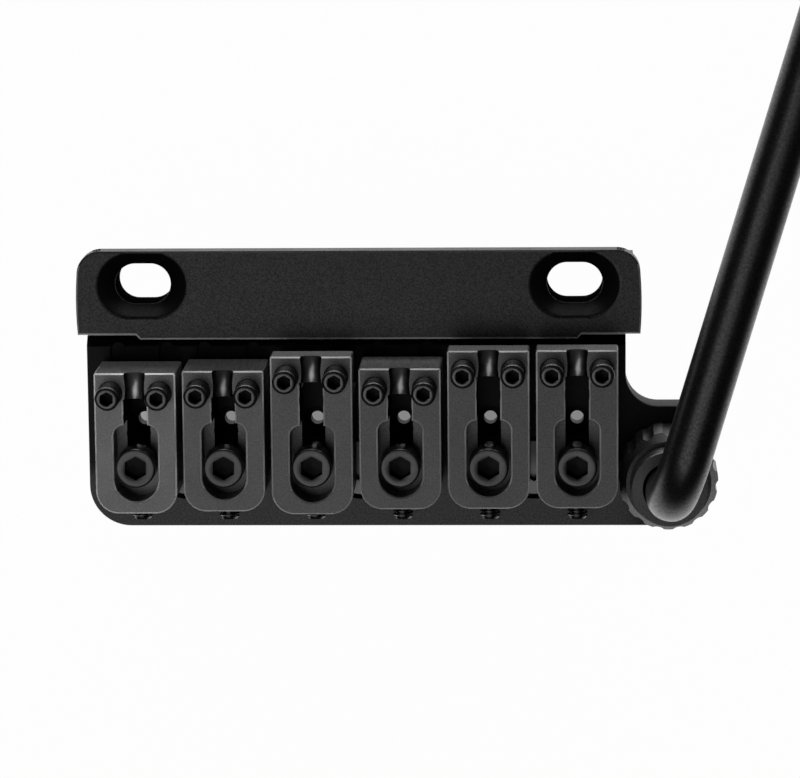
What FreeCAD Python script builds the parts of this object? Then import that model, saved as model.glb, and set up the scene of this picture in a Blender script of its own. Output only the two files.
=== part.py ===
import FreeCAD, Part
import math
import os
import Sketcher

Vector = FreeCAD.Vector

# Frame: X to the treble side, Y to the nut, Z up. The origin is midway between the two
# mounting slots, on the guitar top (the underside of the front plate's foot).

ROWS = [
    # strings and shared clearances
    ("string_pitch", 10.5),
    ("cut_overrun", 1.0),
    ("thread_clearance", 0.02),
    ("running_clearance", 0.05),
    ("guitar_top_z", 0.0),
    # front plate
    ("plate_end_barrel", 0.15),
    ("plate_front_y", 4.13),
    ("plate_rear_y", -6.60),
    ("plate_end_rear_y", -6.03),
    ("plate_step_offset", 0.3),
    ("plate_corner_radius", 2.8),
    ("plate_top_z", 6.8),
    ("plate_thickness", 2.6),
    ("plate_edge_chamfer", 0.22),
    ("lip_thickness", 0.8),
    ("lip_start_y", -4.8),
    ("slot_spacing", 52.0),
    ("slot_end_gap", 8.0),
    ("slot_length", 6.7),
    ("slot_width", 4.9),
    ("rim_length", 10.7),
    ("rim_width", 7.75),
    ("rim_depth", 1.5),
    ("rim_round", 0.7),
    ("slot_lip_round", 0.4),
    ("foot_inset", 1.0),
    ("foot_slot_wall", 1.35),
    ("foot_rear_y", -4.4),
    ("foot_strip_width", 0.9),
    # pivot
    ("pivot_y", -1.9),
    ("pivot_z", 0.6),
    ("shaft_diameter", 3.0),
    ("shaft_end_gap", 0.1),
    ("shaft_chamfer", 0.25),
    ("housing_radius", 3.9),
    ("housing_length", 5.5),
    ("housing_web", 0.3),
    ("housing_side_gap", 0.3),
    ("flange_thickness", 2.5),
    ("bearing_outer_radius", 3.0),
    ("bearing_width", 2.5),
    ("ring_wall", 0.45),
    ("ball_diameter", 1.2),
    ("ball_clearance", 0.03),
    ("ball_count", 7),
    ("housing_screw_spacing", 4.6),
    ("housing_screw_diameter", 1.6),
    ("housing_screw_head_diameter", 2.6),
    ("housing_screw_head_height", 1.1),
    ("housing_screw_hex", 1.3),
    ("housing_screw_hex_depth", 0.7),
    ("housing_thread_depth", 2.0),
    ("thread_end_gap", 0.2),
    # base plate
    ("base_left_margin", 6.73),
    ("base_right_margin", 5.85),
    ("base_front_y", -6.5),
    ("base_rear_margin", 4.1),
    ("base_top_z", 5.2),
    ("base_thickness", 4.2),
    ("base_corner_radius", 5.0),
    ("base_edge_chamfer", 0.1),
    ("base_front_slope_run", 1.2),
    ("base_front_slope_drop", 1.0),
    ("ear_front_margin", 7.68),
    ("ear_reach", 5.5),
    ("ear_inner_radius", 3.9),
    ("ear_front_radius", 4.0),
    ("ear_rear_radius", 5.5),
    ("lug_width", 3.7),
    ("lug_gap", 0.3),
    ("lug_radius", 3.0),
    ("lug_top_z", 3.0),
    ("lug_low_z", -1.8),
    ("lug_root", 1.7),
    ("lug_foot_y", -3.6),
    ("set_screw_diameter", 2.0),
    ("set_screw_hex", 0.9),
    ("set_screw_hex_depth", 0.8),
    ("set_screw_recess", 0.25),
    ("groove_width", 1.9),
    ("groove_depth", 0.6),
    ("groove_front_y", -7.2),
    ("groove_rear_offset", 10.8),
    ("string_hole_offset", 8.9),
    ("string_hole_diameter", 1.6),
    ("string_recess_diameter", 4.0),
    ("string_recess_reach", 1.8),
    ("string_recess_depth", 2.0),
    ("hold_down_offset", 5.05),
    ("block_screw_offset", 3.0),
    ("counterbore_diameter", 7.6),
    ("counterbore_depth", 2.9),
    # sustain block
    ("block_end_margin", 3.75),
    ("block_front_top_offset", 6.9),
    ("block_front_low_offset", 2.1),
    ("block_rear_margin", 2.7),
    ("block_low_z", -22.0),
    ("block_edge_chamfer", 0.5),
    ("spring_hole_diameter", 2.6),
    ("spring_hole_depth", 8.0),
    ("spring_hole_pitch", 11.0),
    ("spring_hole_setback", 0.3),
    ("block_screw_diameter", 4.0),
    ("block_screw_head_diameter", 7.0),
    ("block_screw_head_height", 2.6),
    ("block_screw_hex", 3.0),
    ("block_screw_hex_depth", 1.7),
    ("block_screw_engagement", 6.2),
    ("block_thread_extra", 0.8),
    # saddles
    ("saddle_width", 9.7),
    ("saddle_top_z", 14.8),
    ("saddle_height", 8.4),
    ("saddle_short_length", 17.0),
    ("saddle_long_length", 19.05),
    ("saddle_nose_gap", 0.05),
    ("saddle_corner_radius", 2.7),
    ("saddle_front_chamfer", 0.15),
    ("saddle_edge_chamfer", 0.18),
    ("saddle_nose_thickness", 4.0),
    ("saddle_undercut", 4.6),
    ("saddle_slot_width", 2.8),
    ("saddle_slot_rear", 2.5),
    ("saddle_slot_front_gap", 3.15),
    ("saddle_well_width", 5.3),
    ("saddle_well_rear", 1.46),
    ("saddle_well_front", 10.7),
    ("saddle_well_depth", 3.9),
    ("channel_tube", 1.45),
    ("channel_floor_radius", 4.8),
    ("channel_depth", 0.55),
    ("channel_crest_gap", 1.85),
    ("setback_string_one", 0.6),
    ("setback_string_two", 0.35),
    ("setback_string_three", 0.7),
    ("setback_string_four", 0.1),
    ("setback_string_five", 0.05),
    ("setback_string_six", 0.0),
    # saddle screws
    ("height_screw_diameter", 2.9),
    ("height_screw_spacing", 5.9),
    ("height_screw_front_gap", 2.45),
    ("height_screw_rise", 3.7),
    ("height_screw_bevel", 0.3),
    ("height_screw_hex", 1.5),
    ("height_screw_hex_depth", 2.0),
    ("height_tip_diameter", 1.6),
    ("height_tip_length", 0.9),
    ("height_tip_cone", 0.65),
    ("hold_head_diameter", 4.85),
    ("hold_head_height", 3.0),
    ("hold_head_bevel", 0.25),
    ("hold_head_rise", 0.8),
    ("hold_hex", 2.5),
    ("hold_hex_depth", 1.6),
    ("hold_shank_diameter", 2.6),
    ("hold_end_gap", 0.2),
    ("intonation_diameter", 2.5),
    ("intonation_z", 8.2),
    ("intonation_tip_gap", 0.05),
    ("intonation_length", 6.2),
    ("intonation_bevel", 0.3),
    ("intonation_hex", 1.3),
    ("intonation_hex_depth", 1.5),
    # arm and socket
    ("socket_offset", 5.0),
    ("socket_rear_margin", 7.05),
    ("socket_thread_diameter", 9.0),
    ("socket_low_z", 0.0),
    ("socket_flange_diameter", 11.0),
    ("socket_flange_height", 0.8),
    ("socket_sleeve_diameter", 9.06),
    ("socket_top_z", 17.9),
    ("socket_bore_diameter", 6.1),
    ("socket_bevel", 0.12),
    ("bush_diameter", 7.2),
    ("bush_low_gap", 0.3),
    ("bush_top_z", 12.0),
    ("wheel_diameter", 11.8),
    ("wheel_lift", 0.1),
    ("wheel_height", 8.4),
    ("wheel_cone_height", 1.5),
    ("wheel_cone_inset", 0.85),
    ("wheel_foot_bevel", 0.3),
    ("flute_count", 15),
    ("flute_diameter", 1.9),
    ("flute_depth", 0.34),
    ("arm_diameter", 5.7),
    ("arm_low_z", 1.6),
    ("arm_run_z", 28.8),
    ("arm_bend_radius", 7.0),
    ("arm_run_length", 150.0),
    ("arm_turn_deg", 16.6),
    ("arm_low_bevel", 0.5),
    ("arm_end_round", 2.6),
]

doc = FreeCAD.newDocument("TremoloBridge")
sheet = doc.addObject("Spreadsheet::Sheet", "Sizes")
for row, (alias, number) in enumerate(ROWS, start=1):
    sheet.set("A%d" % row, alias)
    sheet.set("B%d" % row, repr(number))
    sheet.setAlias("B%d" % row, alias)
doc.recompute()


class Size:
    """A length with its number and the sheet expression it comes from."""

    def __init__(self, value, text):
        self.value = value
        self.text = text

    def __add__(self, other):
        other = as_size(other)
        return Size(self.value + other.value, "(%s + %s)" % (self.text, other.text))

    def __sub__(self, other):
        other = as_size(other)
        return Size(self.value - other.value, "(%s - %s)" % (self.text, other.text))

    def __mul__(self, other):
        other = as_size(other)
        return Size(self.value * other.value, "(%s * %s)" % (self.text, other.text))

    def __truediv__(self, other):
        other = as_size(other)
        return Size(self.value / other.value, "(%s / %s)" % (self.text, other.text))

    def __neg__(self):
        return Size(-self.value, "(0 - %s)" % self.text)

    __radd__ = __add__
    __rmul__ = __mul__


def as_size(number):
    return number if isinstance(number, Size) else Size(float(number), repr(float(number)))


class Table:
    pass


S = Table()
for alias, number in ROWS:
    setattr(S, alias, Size(float(sheet.get(alias)), "Sizes." + alias))
ZERO = as_size(0)


def new_body(label):
    body = doc.addObject("PartDesign::Body", label)
    body.Label = label
    return body


def plane_of(body, role):
    return [feature for feature in body.Origin.OriginFeatures if feature.Role == role][0]


def new_sketch(body, name, role, level=None):
    """A sketch on one of the body's own origin planes, moved along the plane's normal."""
    sketch = body.newObject("Sketcher::SketchObject", name)
    sketch.AttachmentSupport = [(plane_of(body, role), "")]
    sketch.MapMode = "FlatFace"
    if level is not None:
        sketch.setExpression("AttachmentOffset.Base.z", level.text)
    return sketch


def hold(sketch, kind, element, point, length):
    index = sketch.addConstraint(Sketcher.Constraint(kind, -1, 1, element, point, length.value))
    sketch.setExpression("Constraints[%d]" % index, length.text)


def draw_circle(sketch, x, y, radius):
    x, y = as_size(x), as_size(y)
    circle = Part.Circle(Vector(x.value, y.value, 0), Vector(0, 0, 1), radius.value)
    element = sketch.addGeometry(circle, False)
    hold(sketch, "DistanceX", element, 3, x)
    hold(sketch, "DistanceY", element, 3, y)
    index = sketch.addConstraint(Sketcher.Constraint("Radius", element, radius.value))
    sketch.setExpression("Constraints[%d]" % index, radius.text)


def draw_loop(sketch, *stops):
    """A closed loop. A stop is (x, y) for a line to that point, or (x, y, centre x, centre y, turn)
    for an arc to it, turning "left" or "right". The loop starts at the last stop."""
    stops = [tuple(s if isinstance(s, str) else as_size(s) for s in stop) for stop in stops]
    ends = []
    for number, stop in enumerate(stops):
        before = stops[number - 1]
        p = Vector(before[0].value, before[1].value, 0)
        q = Vector(stop[0].value, stop[1].value, 0)
        if len(stop) == 2:
            element = sketch.addGeometry(Part.LineSegment(p, q), False)
            ends.append((element, 1, 2))
            continue
        centre = Vector(stop[2].value, stop[3].value, 0)
        circle = Part.Circle(centre, Vector(0, 0, 1), (q - centre).Length)
        first, last = (p, q) if stop[4] == "left" else (q, p)
        low = math.atan2(first.y - centre.y, first.x - centre.x)
        high = math.atan2(last.y - centre.y, last.x - centre.x)
        if high <= low:
            high += 2 * math.pi
        element = sketch.addGeometry(Part.ArcOfCircle(circle, low, high), False)
        ends.append((element, 1, 2) if stop[4] == "left" else (element, 2, 1))
    for number, (element, start, finish) in enumerate(ends):
        following = ends[(number + 1) % len(ends)]
        sketch.addConstraint(
            Sketcher.Constraint("Coincident", element, finish, following[0], following[1]))
    for stop, before, (element, start, finish) in zip(stops, stops[-1:] + stops[:-1], ends):
        hold(sketch, "DistanceX", element, finish, stop[0])
        hold(sketch, "DistanceY", element, finish, stop[1])
        if len(stop) > 2:
            across = abs(stop[0].value - before[0].value)
            along = abs(stop[1].value - before[1].value)
            if across > along:
                hold(sketch, "DistanceY", element, 3, stop[3])
            else:
                hold(sketch, "DistanceX", element, 3, stop[2])


def draw_box(sketch, left, right, low, high):
    draw_loop(sketch, (right, low), (right, high), (left, high), (left, low))


def draw_slot(sketch, x, y, length, width):
    """A slot with round ends, lying along the sketch's first direction."""
    x, y = as_size(x), as_size(y)
    reach = (length - width) / 2
    radius = width / 2
    draw_loop(
        sketch,
        (x + reach, y - radius),
        (x + reach, y + radius, x + reach, y, "left"),
        (x - reach, y + radius),
        (x - reach, y - radius, x - reach, y, "left"))


def draw_upright_slot(sketch, x, low, high, width):
    """A slot with round ends, lying along the sketch's second direction."""
    radius = width / 2
    draw_loop(
        sketch,
        (x + radius, high - radius),
        (x - radius, high - radius, x, high - radius, "left"),
        (x - radius, low + radius),
        (x + radius, low + radius, x, low + radius, "left"))


def draw_hex(sketch, x, y, across_flats):
    """A hexagon with a corner toward the sketch's second direction."""
    x, y = as_size(x), as_size(y)
    half = across_flats / 2
    corner_share = 2 / math.sqrt(3)
    tall = half * corner_share
    draw_loop(
        sketch,
        (x, y + tall),
        (x - half, y + tall / 2),
        (x - half, y - tall / 2),
        (x, y - tall),
        (x + half, y - tall / 2),
        (x + half, y + tall / 2))


def pad(body, sketch, name, length, symmetric=False, backward=False):
    feature = body.newObject("PartDesign::Pad", name)
    feature.Profile = sketch
    feature.setExpression("Length", length.text)
    feature.SideType = "Symmetric" if symmetric else "One side"
    feature.Reversed = backward
    sketch.Visibility = False
    doc.recompute()
    return feature


def cut(body, sketch, name, depth=None, backward=False):
    """A pocket to a depth, or right through both ways when no depth is given."""
    before = body.Shape.Volume
    feature = body.newObject("PartDesign::Pocket", name)
    feature.Profile = sketch
    if depth is None:
        feature.Type = "ThroughAll"
        feature.SideType = "Symmetric"
    else:
        feature.setExpression("Length", depth.text)
        feature.Reversed = backward
    sketch.Visibility = False
    doc.recompute()
    if not body.Shape.Volume < before:
        raise RuntimeError("%s removes nothing from %s" % (name, body.Label))
    return feature


def turn(body, sketch, name):
    feature = body.newObject("PartDesign::Revolution", name)
    feature.Profile = sketch
    feature.ReferenceAxis = (sketch, ["V_Axis"])
    sketch.Visibility = False
    doc.recompute()
    return feature


def bevel(body, feature, name, size, chosen):
    edges = ["Edge%d" % (k + 1) for k, edge in enumerate(feature.Shape.Edges) if chosen(edge)]
    if not edges:
        raise RuntimeError("%s finds no edges on %s" % (name, body.Label))
    result = body.newObject("PartDesign::Chamfer", name)
    result.Base = (feature, edges)
    result.setExpression("Size", size.text)
    doc.recompute()
    return result


def soften(body, feature, name, size, chosen):
    edges = ["Edge%d" % (k + 1) for k, edge in enumerate(feature.Shape.Edges) if chosen(edge)]
    if not edges:
        raise RuntimeError("%s finds no edges on %s" % (name, body.Label))
    result = body.newObject("PartDesign::Fillet", name)
    result.Base = (feature, edges)
    result.setExpression("Radius", size.text)
    doc.recompute()
    return result


def flat_at(edge, axis, level):
    """True when an edge lies in the plane where the named axis has that level."""
    box = edge.BoundBox
    low, high = getattr(box, axis + "Min"), getattr(box, axis + "Max")
    close = S.thread_clearance.value / 10
    return abs(low - level.value) < close and abs(high - level.value) < close


def place(thing, x=ZERO, y=ZERO, z=ZERO):
    for axis, length in (("x", x), ("y", y), ("z", z)):
        thing.setExpression("Placement.Base." + axis, as_size(length).text)


def group(label, master, spots):
    """One node made of separate copies of a master piece."""
    members = []
    for number, (x, y, z) in enumerate(spots, start=1):
        link = doc.addObject("App::Link", "%s_copy_%d" % (label, number))
        link.LinkedObject = master
        place(link, x, y, z)
        members.append(link)
    result = doc.addObject("Part::Compound", label)
    result.Label = label
    result.Links = members
    doc.recompute()
    return result


nodes = []
string_xs = [S.string_pitch * as_size(k - 2.5) for k in range(6)]
plate_under = S.plate_top_z - S.plate_thickness
base_under = S.base_top_z - S.base_thickness
slot_half = S.slot_spacing / 2
plate_half_length = slot_half + S.slot_end_gap
plate_step_x = slot_half + S.plate_step_offset
foot_inner_x = slot_half - S.slot_length / 2 - S.foot_slot_wall
housing_outer_x = foot_inner_x - S.housing_side_gap
housing_inner_x = housing_outer_x - S.housing_length
lug_outer_x = housing_inner_x - S.lug_gap
lug_inner_x = lug_outer_x - S.lug_width
base_left_x = string_xs[0] - S.base_left_margin
base_right_x = string_xs[5] + S.base_right_margin
socket_x = base_right_x + S.socket_offset
ear_right_x = socket_x + S.ear_reach
# Rows along Y on the rocking side, measured from the rear of the foremost long saddle.
saddle_row_y = S.plate_rear_y - S.saddle_nose_gap - S.saddle_long_length
base_rear_y = saddle_row_y - S.base_rear_margin
groove_rear_y = saddle_row_y + S.groove_rear_offset
string_hole_y = saddle_row_y + S.string_hole_offset
string_recess_front_y = string_hole_y + S.string_recess_reach
hold_down_y = saddle_row_y + S.hold_down_offset
block_screw_y = saddle_row_y + S.block_screw_offset
block_front_top_y = saddle_row_y + S.block_front_top_offset
block_front_low_y = saddle_row_y + S.block_front_low_offset
block_rear_y = saddle_row_y - S.block_rear_margin
spring_hole_y = saddle_row_y - S.spring_hole_setback
socket_y = base_rear_y + S.socket_rear_margin
ear_front_y = socket_y + S.ear_front_margin
block_half_length = string_xs[5] + S.block_end_margin
shaft_radius = S.shaft_diameter / 2

# Front plate: a bar with a foot under each slot and a thin strip along the front.
plate = new_body("front_plate")
end_x = plate_half_length - S.plate_end_barrel
corner_y = S.plate_front_y - S.plate_corner_radius
step = S.plate_end_rear_y - S.plate_rear_y
chord = corner_y - S.plate_end_rear_y
barrel_radius = chord * chord / (S.plate_end_barrel * 8) + S.plate_end_barrel / 2
barrel_x = plate_half_length - barrel_radius
barrel_y = (corner_y + S.plate_end_rear_y) / 2
outline = new_sketch(plate, "plate_outline", "XY_Plane", plate_under)
draw_loop(
    outline,
    (plate_step_x, S.plate_rear_y),
    (plate_step_x + step, S.plate_end_rear_y),
    (end_x, S.plate_end_rear_y),
    (end_x, corner_y, barrel_x, barrel_y, "left"),
    (end_x - S.plate_corner_radius, S.plate_front_y, end_x - S.plate_corner_radius, corner_y, "left"),
    (-(end_x - S.plate_corner_radius), S.plate_front_y),
    (-end_x, corner_y, -(end_x - S.plate_corner_radius), corner_y, "left"),
    (-end_x, S.plate_end_rear_y, -barrel_x, barrel_y, "left"),
    (-(plate_step_x + step), S.plate_end_rear_y),
    (-plate_step_x, S.plate_rear_y))
bar = pad(plate, outline, "plate_bar", S.plate_thickness)
bar = bevel(plate, bar, "plate_bevel", S.plate_edge_chamfer,
            lambda edge: flat_at(edge, "Z", S.plate_top_z))

foot_outer_x = plate_half_length - S.foot_inset
foot_front_y = S.plate_front_y - S.foot_inset
foot = new_sketch(plate, "foot_outline", "XY_Plane", S.guitar_top_z)
draw_loop(
    foot,
    (foot_outer_x, S.foot_rear_y),
    (foot_outer_x, foot_front_y),
    (-foot_outer_x, foot_front_y),
    (-foot_outer_x, S.foot_rear_y),
    (-foot_inner_x, S.foot_rear_y),
    (-foot_inner_x, foot_front_y - S.foot_strip_width),
    (foot_inner_x, foot_front_y - S.foot_strip_width),
    (foot_inner_x, S.foot_rear_y))
pad(plate, foot, "plate_foot", plate_under - S.guitar_top_z)

lip = new_sketch(plate, "lip_relief", "YZ_Plane")
draw_box(lip, S.plate_rear_y - S.cut_overrun, S.lip_start_y,
         plate_under - S.cut_overrun, S.plate_top_z - S.lip_thickness)
cut(plate, lip, "lip_relief_cut")

slots = new_sketch(plate, "slots", "XY_Plane", S.plate_top_z)
draw_slot(slots, -slot_half, ZERO, S.slot_length, S.slot_width)
draw_slot(slots, slot_half, ZERO, S.slot_length, S.slot_width)
cut(plate, slots, "slot_cut")
for side, x in (("bass", -slot_half), ("treble", slot_half)):
    upper = new_sketch(plate, "rim_top_" + side, "XY_Plane", S.plate_top_z)
    draw_slot(upper, x, ZERO, S.rim_length, S.rim_width)
    lower = new_sketch(plate, "rim_low_" + side, "XY_Plane", S.plate_top_z - S.rim_depth)
    draw_slot(lower, x, ZERO, S.slot_length, S.slot_width)
    before = plate.Shape.Volume
    rim = plate.newObject("PartDesign::SubtractiveLoft", "rim_" + side)
    rim.Profile = upper
    rim.Sections = [lower]
    rim.Ruled = True
    doc.recompute()
    if not plate.Shape.Volume < before:
        raise RuntimeError("the slot rim removes nothing")
    rim_reach = S.rim_length / 2 + S.running_clearance
    rim = soften(plate, rim, "rim_round_" + side, S.rim_round,
                 lambda edge: flat_at(edge, "Z", S.plate_top_z)
                 and abs(edge.BoundBox.Center.x - x.value) < rim_reach.value
                 and abs(edge.BoundBox.Center.y) < S.rim_width.value / 2 + S.running_clearance.value
                 and edge.BoundBox.XLength < S.rim_length.value)
    soften(plate, rim, "slot_lip_" + side, S.slot_lip_round,
           lambda edge: flat_at(edge, "Z", S.plate_top_z - S.rim_depth)
           and abs(edge.BoundBox.Center.x - x.value) < rim_reach.value)

flange_inner_x = housing_inner_x + S.bearing_width + S.housing_web
flange_low_z = plate_under - S.flange_thickness
housing_screw_x = (flange_inner_x + housing_outer_x) / 2
housing_screw_ys = [S.pivot_y - S.housing_screw_spacing / 2, S.pivot_y + S.housing_screw_spacing / 2]
housing_screw_radius = S.housing_screw_diameter / 2
taps = new_sketch(plate, "housing_taps", "XY_Plane", plate_under)
for x in (-housing_screw_x, housing_screw_x):
    for y in housing_screw_ys:
        draw_circle(taps, x, y, housing_screw_radius + S.thread_clearance)
cut(plate, taps, "housing_tap_cut", S.housing_thread_depth, backward=True)
nodes.append(plate)

# Bearing blocks: a round housing with a flange that is screwed up under the front plate.
for side, hand in (("bass", -1), ("treble", 1)):
    block = new_body("bearing_block_" + side)
    profile = new_sketch(block, "housing_" + side, "YZ_Plane", housing_inner_x * hand)
    draw_loop(
        profile,
        (S.pivot_y + S.housing_radius, plate_under),
        (S.pivot_y - S.housing_radius, plate_under),
        (S.pivot_y - S.housing_radius, S.pivot_z),
        (S.pivot_y + S.housing_radius, S.pivot_z, S.pivot_y, S.pivot_z, "left"))
    pad(block, profile, "housing_pad_" + side, S.bearing_width + S.housing_web, backward=hand < 0)
    flange = new_sketch(block, "flange_" + side, "YZ_Plane", flange_inner_x * hand)
    draw_box(flange, S.pivot_y - S.housing_radius, S.pivot_y + S.housing_radius,
             flange_low_z, plate_under)
    pad(block, flange, "flange_pad_" + side, housing_outer_x - flange_inner_x, backward=hand < 0)
    seat = new_sketch(block, "bearing_seat_" + side, "YZ_Plane", housing_inner_x * hand)
    draw_circle(seat, S.pivot_y, S.pivot_z, S.bearing_outer_radius)
    cut(block, seat, "bearing_seat_cut_" + side, S.bearing_width, backward=hand > 0)
    holes = new_sketch(block, "flange_holes_" + side, "XY_Plane", plate_under)
    for y in housing_screw_ys:
        draw_circle(holes, housing_screw_x * hand, y, housing_screw_radius + S.thread_clearance)
    cut(block, holes, "flange_hole_cut_" + side, S.flange_thickness + S.cut_overrun)
    nodes.append(block)


def cap_screw(label, radius, head_radius, head_height, end, hexagon, hex_depth, head_bevel):
    """A cap screw along Z with its head on top. The underside of the head is at zero."""
    body = new_body(label)
    sketch = new_sketch(body, label + "_profile", "XZ_Plane")
    draw_loop(
        sketch,
        (radius, -end),
        (radius, ZERO),
        (head_radius, ZERO),
        (head_radius, head_height - head_bevel),
        (head_radius - head_bevel, head_height),
        (ZERO, head_height),
        (ZERO, -end))
    turn(body, sketch, label + "_turn")
    socket = new_sketch(body, label + "_hex", "XY_Plane", head_height)
    draw_hex(socket, ZERO, ZERO, hexagon)
    cut(body, socket, label + "_hex_cut", hex_depth)
    return body


# Screws of the bearing blocks: heads down, so each copy is made head down in the master.
screw = new_body("housing_screw")
profile = new_sketch(screw, "housing_screw_profile", "XZ_Plane")
head_radius = S.housing_screw_head_diameter / 2
screw_reach = S.flange_thickness + S.housing_thread_depth - S.thread_end_gap
draw_loop(
    profile,
    (head_radius, -S.housing_screw_head_height),
    (head_radius, ZERO),
    (housing_screw_radius, ZERO),
    (housing_screw_radius, screw_reach),
    (ZERO, screw_reach),
    (ZERO, -S.housing_screw_head_height))
turn(screw, profile, "housing_screw_turn")
socket = new_sketch(screw, "housing_screw_hex", "XY_Plane", -S.housing_screw_head_height)
draw_hex(socket, ZERO, ZERO, S.housing_screw_hex)
cut(screw, socket, "housing_screw_hex_cut", S.housing_screw_hex_depth, backward=True)
nodes.append(group("bearing_block_screws", screw,
                   [(x, y, flange_low_z) for x in (-housing_screw_x, housing_screw_x)
                    for y in housing_screw_ys]))

# Bearings: rings turned about X, with a ball groove, and loose balls between them.
ball_radius = S.ball_diameter / 2
groove_radius = ball_radius + S.ball_clearance
ball_path = (S.bearing_outer_radius + shaft_radius) / 2
ring_middle_x = housing_inner_x + S.bearing_width / 2


def bearing_ring(label, inner, outer):
    members = []
    for number, hand in enumerate((-1, 1)):
        tube = doc.addObject("Part::Cylinder", "%s_outside_%d" % (label, number))
        hole = doc.addObject("Part::Cylinder", "%s_inside_%d" % (label, number))
        ring = doc.addObject("Part::Torus", "%s_groove_%d" % (label, number))
        tube.setExpression("Radius", outer.text)
        hole.setExpression("Radius", inner.text)
        ring.setExpression("Radius1", ball_path.text)
        ring.setExpression("Radius2", groove_radius.text)
        sideways = FreeCAD.Rotation(Vector(0, 1, 0), 90)
        middle = ring_middle_x * hand
        start = middle - S.bearing_width / 2
        for thing, x, length in ((tube, start, S.bearing_width),
                                 (hole, start - S.cut_overrun, S.bearing_width + S.cut_overrun * 2),
                                 (ring, middle, None)):
            thing.Placement = FreeCAD.Placement(Vector(), sideways)
            place(thing, x, S.pivot_y, S.pivot_z)
            if length is not None:
                thing.setExpression("Height", length.text)
        bored = doc.addObject("Part::Cut", "%s_bored_%d" % (label, number))
        bored.Base, bored.Tool = tube, hole
        grooved = doc.addObject("Part::Cut", "%s_grooved_%d" % (label, number))
        grooved.Base, grooved.Tool = bored, ring
        members.append(grooved)
    result = doc.addObject("Part::Compound", label)
    result.Label = label
    result.Links = members
    doc.recompute()
    return result


nodes.append(bearing_ring("bearing_outer_rings",
                          S.bearing_outer_radius - S.ring_wall, S.bearing_outer_radius))
nodes.append(bearing_ring("bearing_inner_rings", shaft_radius, shaft_radius + S.ring_wall))

balls = []
for hand in (-1, 1):
    for k in range(int(S.ball_count.value)):
        angle = 2 * math.pi * k / S.ball_count.value
        ball = doc.addObject("Part::Sphere", "ball_%d_%d" % (hand + 1, k))
        ball.setExpression("Radius", ball_radius.text)
        place(ball, ring_middle_x * hand, S.pivot_y + ball_path * as_size(math.cos(angle)),
              S.pivot_z + ball_path * as_size(math.sin(angle)))
        balls.append(ball)
ball_set = doc.addObject("Part::Compound", "bearing_balls")
ball_set.Label = "bearing_balls"
ball_set.Links = balls
nodes.append(ball_set)

# Pivot shaft along X, clamped in the base plate's lugs.
shaft = new_body("pivot_shaft")
shaft_half = housing_inner_x + S.bearing_width - S.shaft_end_gap
rod = new_sketch(shaft, "shaft_circle", "YZ_Plane")
draw_circle(rod, S.pivot_y, S.pivot_z, shaft_radius)
rod_pad = pad(shaft, rod, "shaft_pad", shaft_half * 2, symmetric=True)
bevel(shaft, rod_pad, "shaft_bevel", S.shaft_chamfer,
      lambda edge: flat_at(edge, "X", shaft_half) or flat_at(edge, "X", -shaft_half))
nodes.append(shaft)

# Base plate with its lugs, ear, grooves, string holes and counterbores.
base = new_body("base_plate")
outline = new_sketch(base, "base_outline", "XY_Plane", base_under)
fillet_y = ear_front_y + S.ear_inner_radius
fillet_x = base_right_x + S.ear_inner_radius
ear_front_x = ear_right_x - S.ear_front_radius
ear_rear_x = ear_right_x - S.ear_rear_radius
draw_loop(
    outline,
    (ear_rear_x, base_rear_y),
    (ear_right_x, base_rear_y + S.ear_rear_radius,
     ear_rear_x, base_rear_y + S.ear_rear_radius, "left"),
    (ear_right_x, ear_front_y - S.ear_front_radius),
    (ear_front_x, ear_front_y, ear_front_x, ear_front_y - S.ear_front_radius, "left"),
    (fillet_x, ear_front_y),
    (base_right_x, fillet_y, fillet_x, fillet_y, "right"),
    (base_right_x, S.base_front_y),
    (base_left_x, S.base_front_y),
    (base_left_x, base_rear_y + S.base_corner_radius),
    (base_left_x + S.base_corner_radius, base_rear_y,
     base_left_x + S.base_corner_radius, base_rear_y + S.base_corner_radius, "left"))
slab = pad(base, outline, "base_slab", S.base_thickness)
bevel(base, slab, "base_bevel", S.base_edge_chamfer,
      lambda edge: flat_at(edge, "Z", S.base_top_z) and not flat_at(edge, "Y", S.base_front_y))
slope = new_sketch(base, "front_slope", "YZ_Plane")
slope_run = S.base_front_y - S.base_front_slope_run
slope_drop = S.base_top_z - S.base_front_slope_drop
slope_rise_share = S.base_front_slope_drop / S.base_front_slope_run
draw_loop(
    slope,
    (S.base_front_y, slope_drop),
    (S.base_front_y + S.cut_overrun, slope_drop - S.cut_overrun * slope_rise_share),
    (S.base_front_y + S.cut_overrun, S.base_top_z + S.cut_overrun),
    (slope_run, S.base_top_z + S.cut_overrun),
    (slope_run, S.base_top_z))
cut(base, slope, "front_slope_cut")

lug_root_y = S.base_front_y - S.lug_root
for side, hand in (("bass", -1), ("treble", 1)):
    lug = new_sketch(base, "lug_" + side, "YZ_Plane", lug_inner_x * hand)
    draw_loop(
        lug,
        (S.pivot_y, S.lug_top_z),
        (lug_root_y, S.lug_top_z),
        (lug_root_y, base_under),
        (S.base_front_y, base_under),
        (S.lug_foot_y, S.lug_low_z),
        (S.pivot_y, S.lug_low_z))
    pad(base, lug, "lug_pad_" + side, lug_outer_x - lug_inner_x, backward=hand < 0)
    boss = new_sketch(base, "boss_" + side, "YZ_Plane", lug_inner_x * hand)
    draw_circle(boss, S.pivot_y, S.pivot_z, S.lug_radius)
    pad(base, boss, "boss_pad_" + side, lug_outer_x - lug_inner_x, backward=hand < 0)
bores = new_sketch(base, "shaft_bores", "YZ_Plane")
draw_circle(bores, S.pivot_y, S.pivot_z, shaft_radius + S.thread_clearance)
cut(base, bores, "shaft_bore_cut")
lug_middle_x = (lug_inner_x + lug_outer_x) / 2
set_screw_radius = S.set_screw_diameter / 2
taps = new_sketch(base, "set_screw_taps", "XY_Plane", S.pivot_z)
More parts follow.
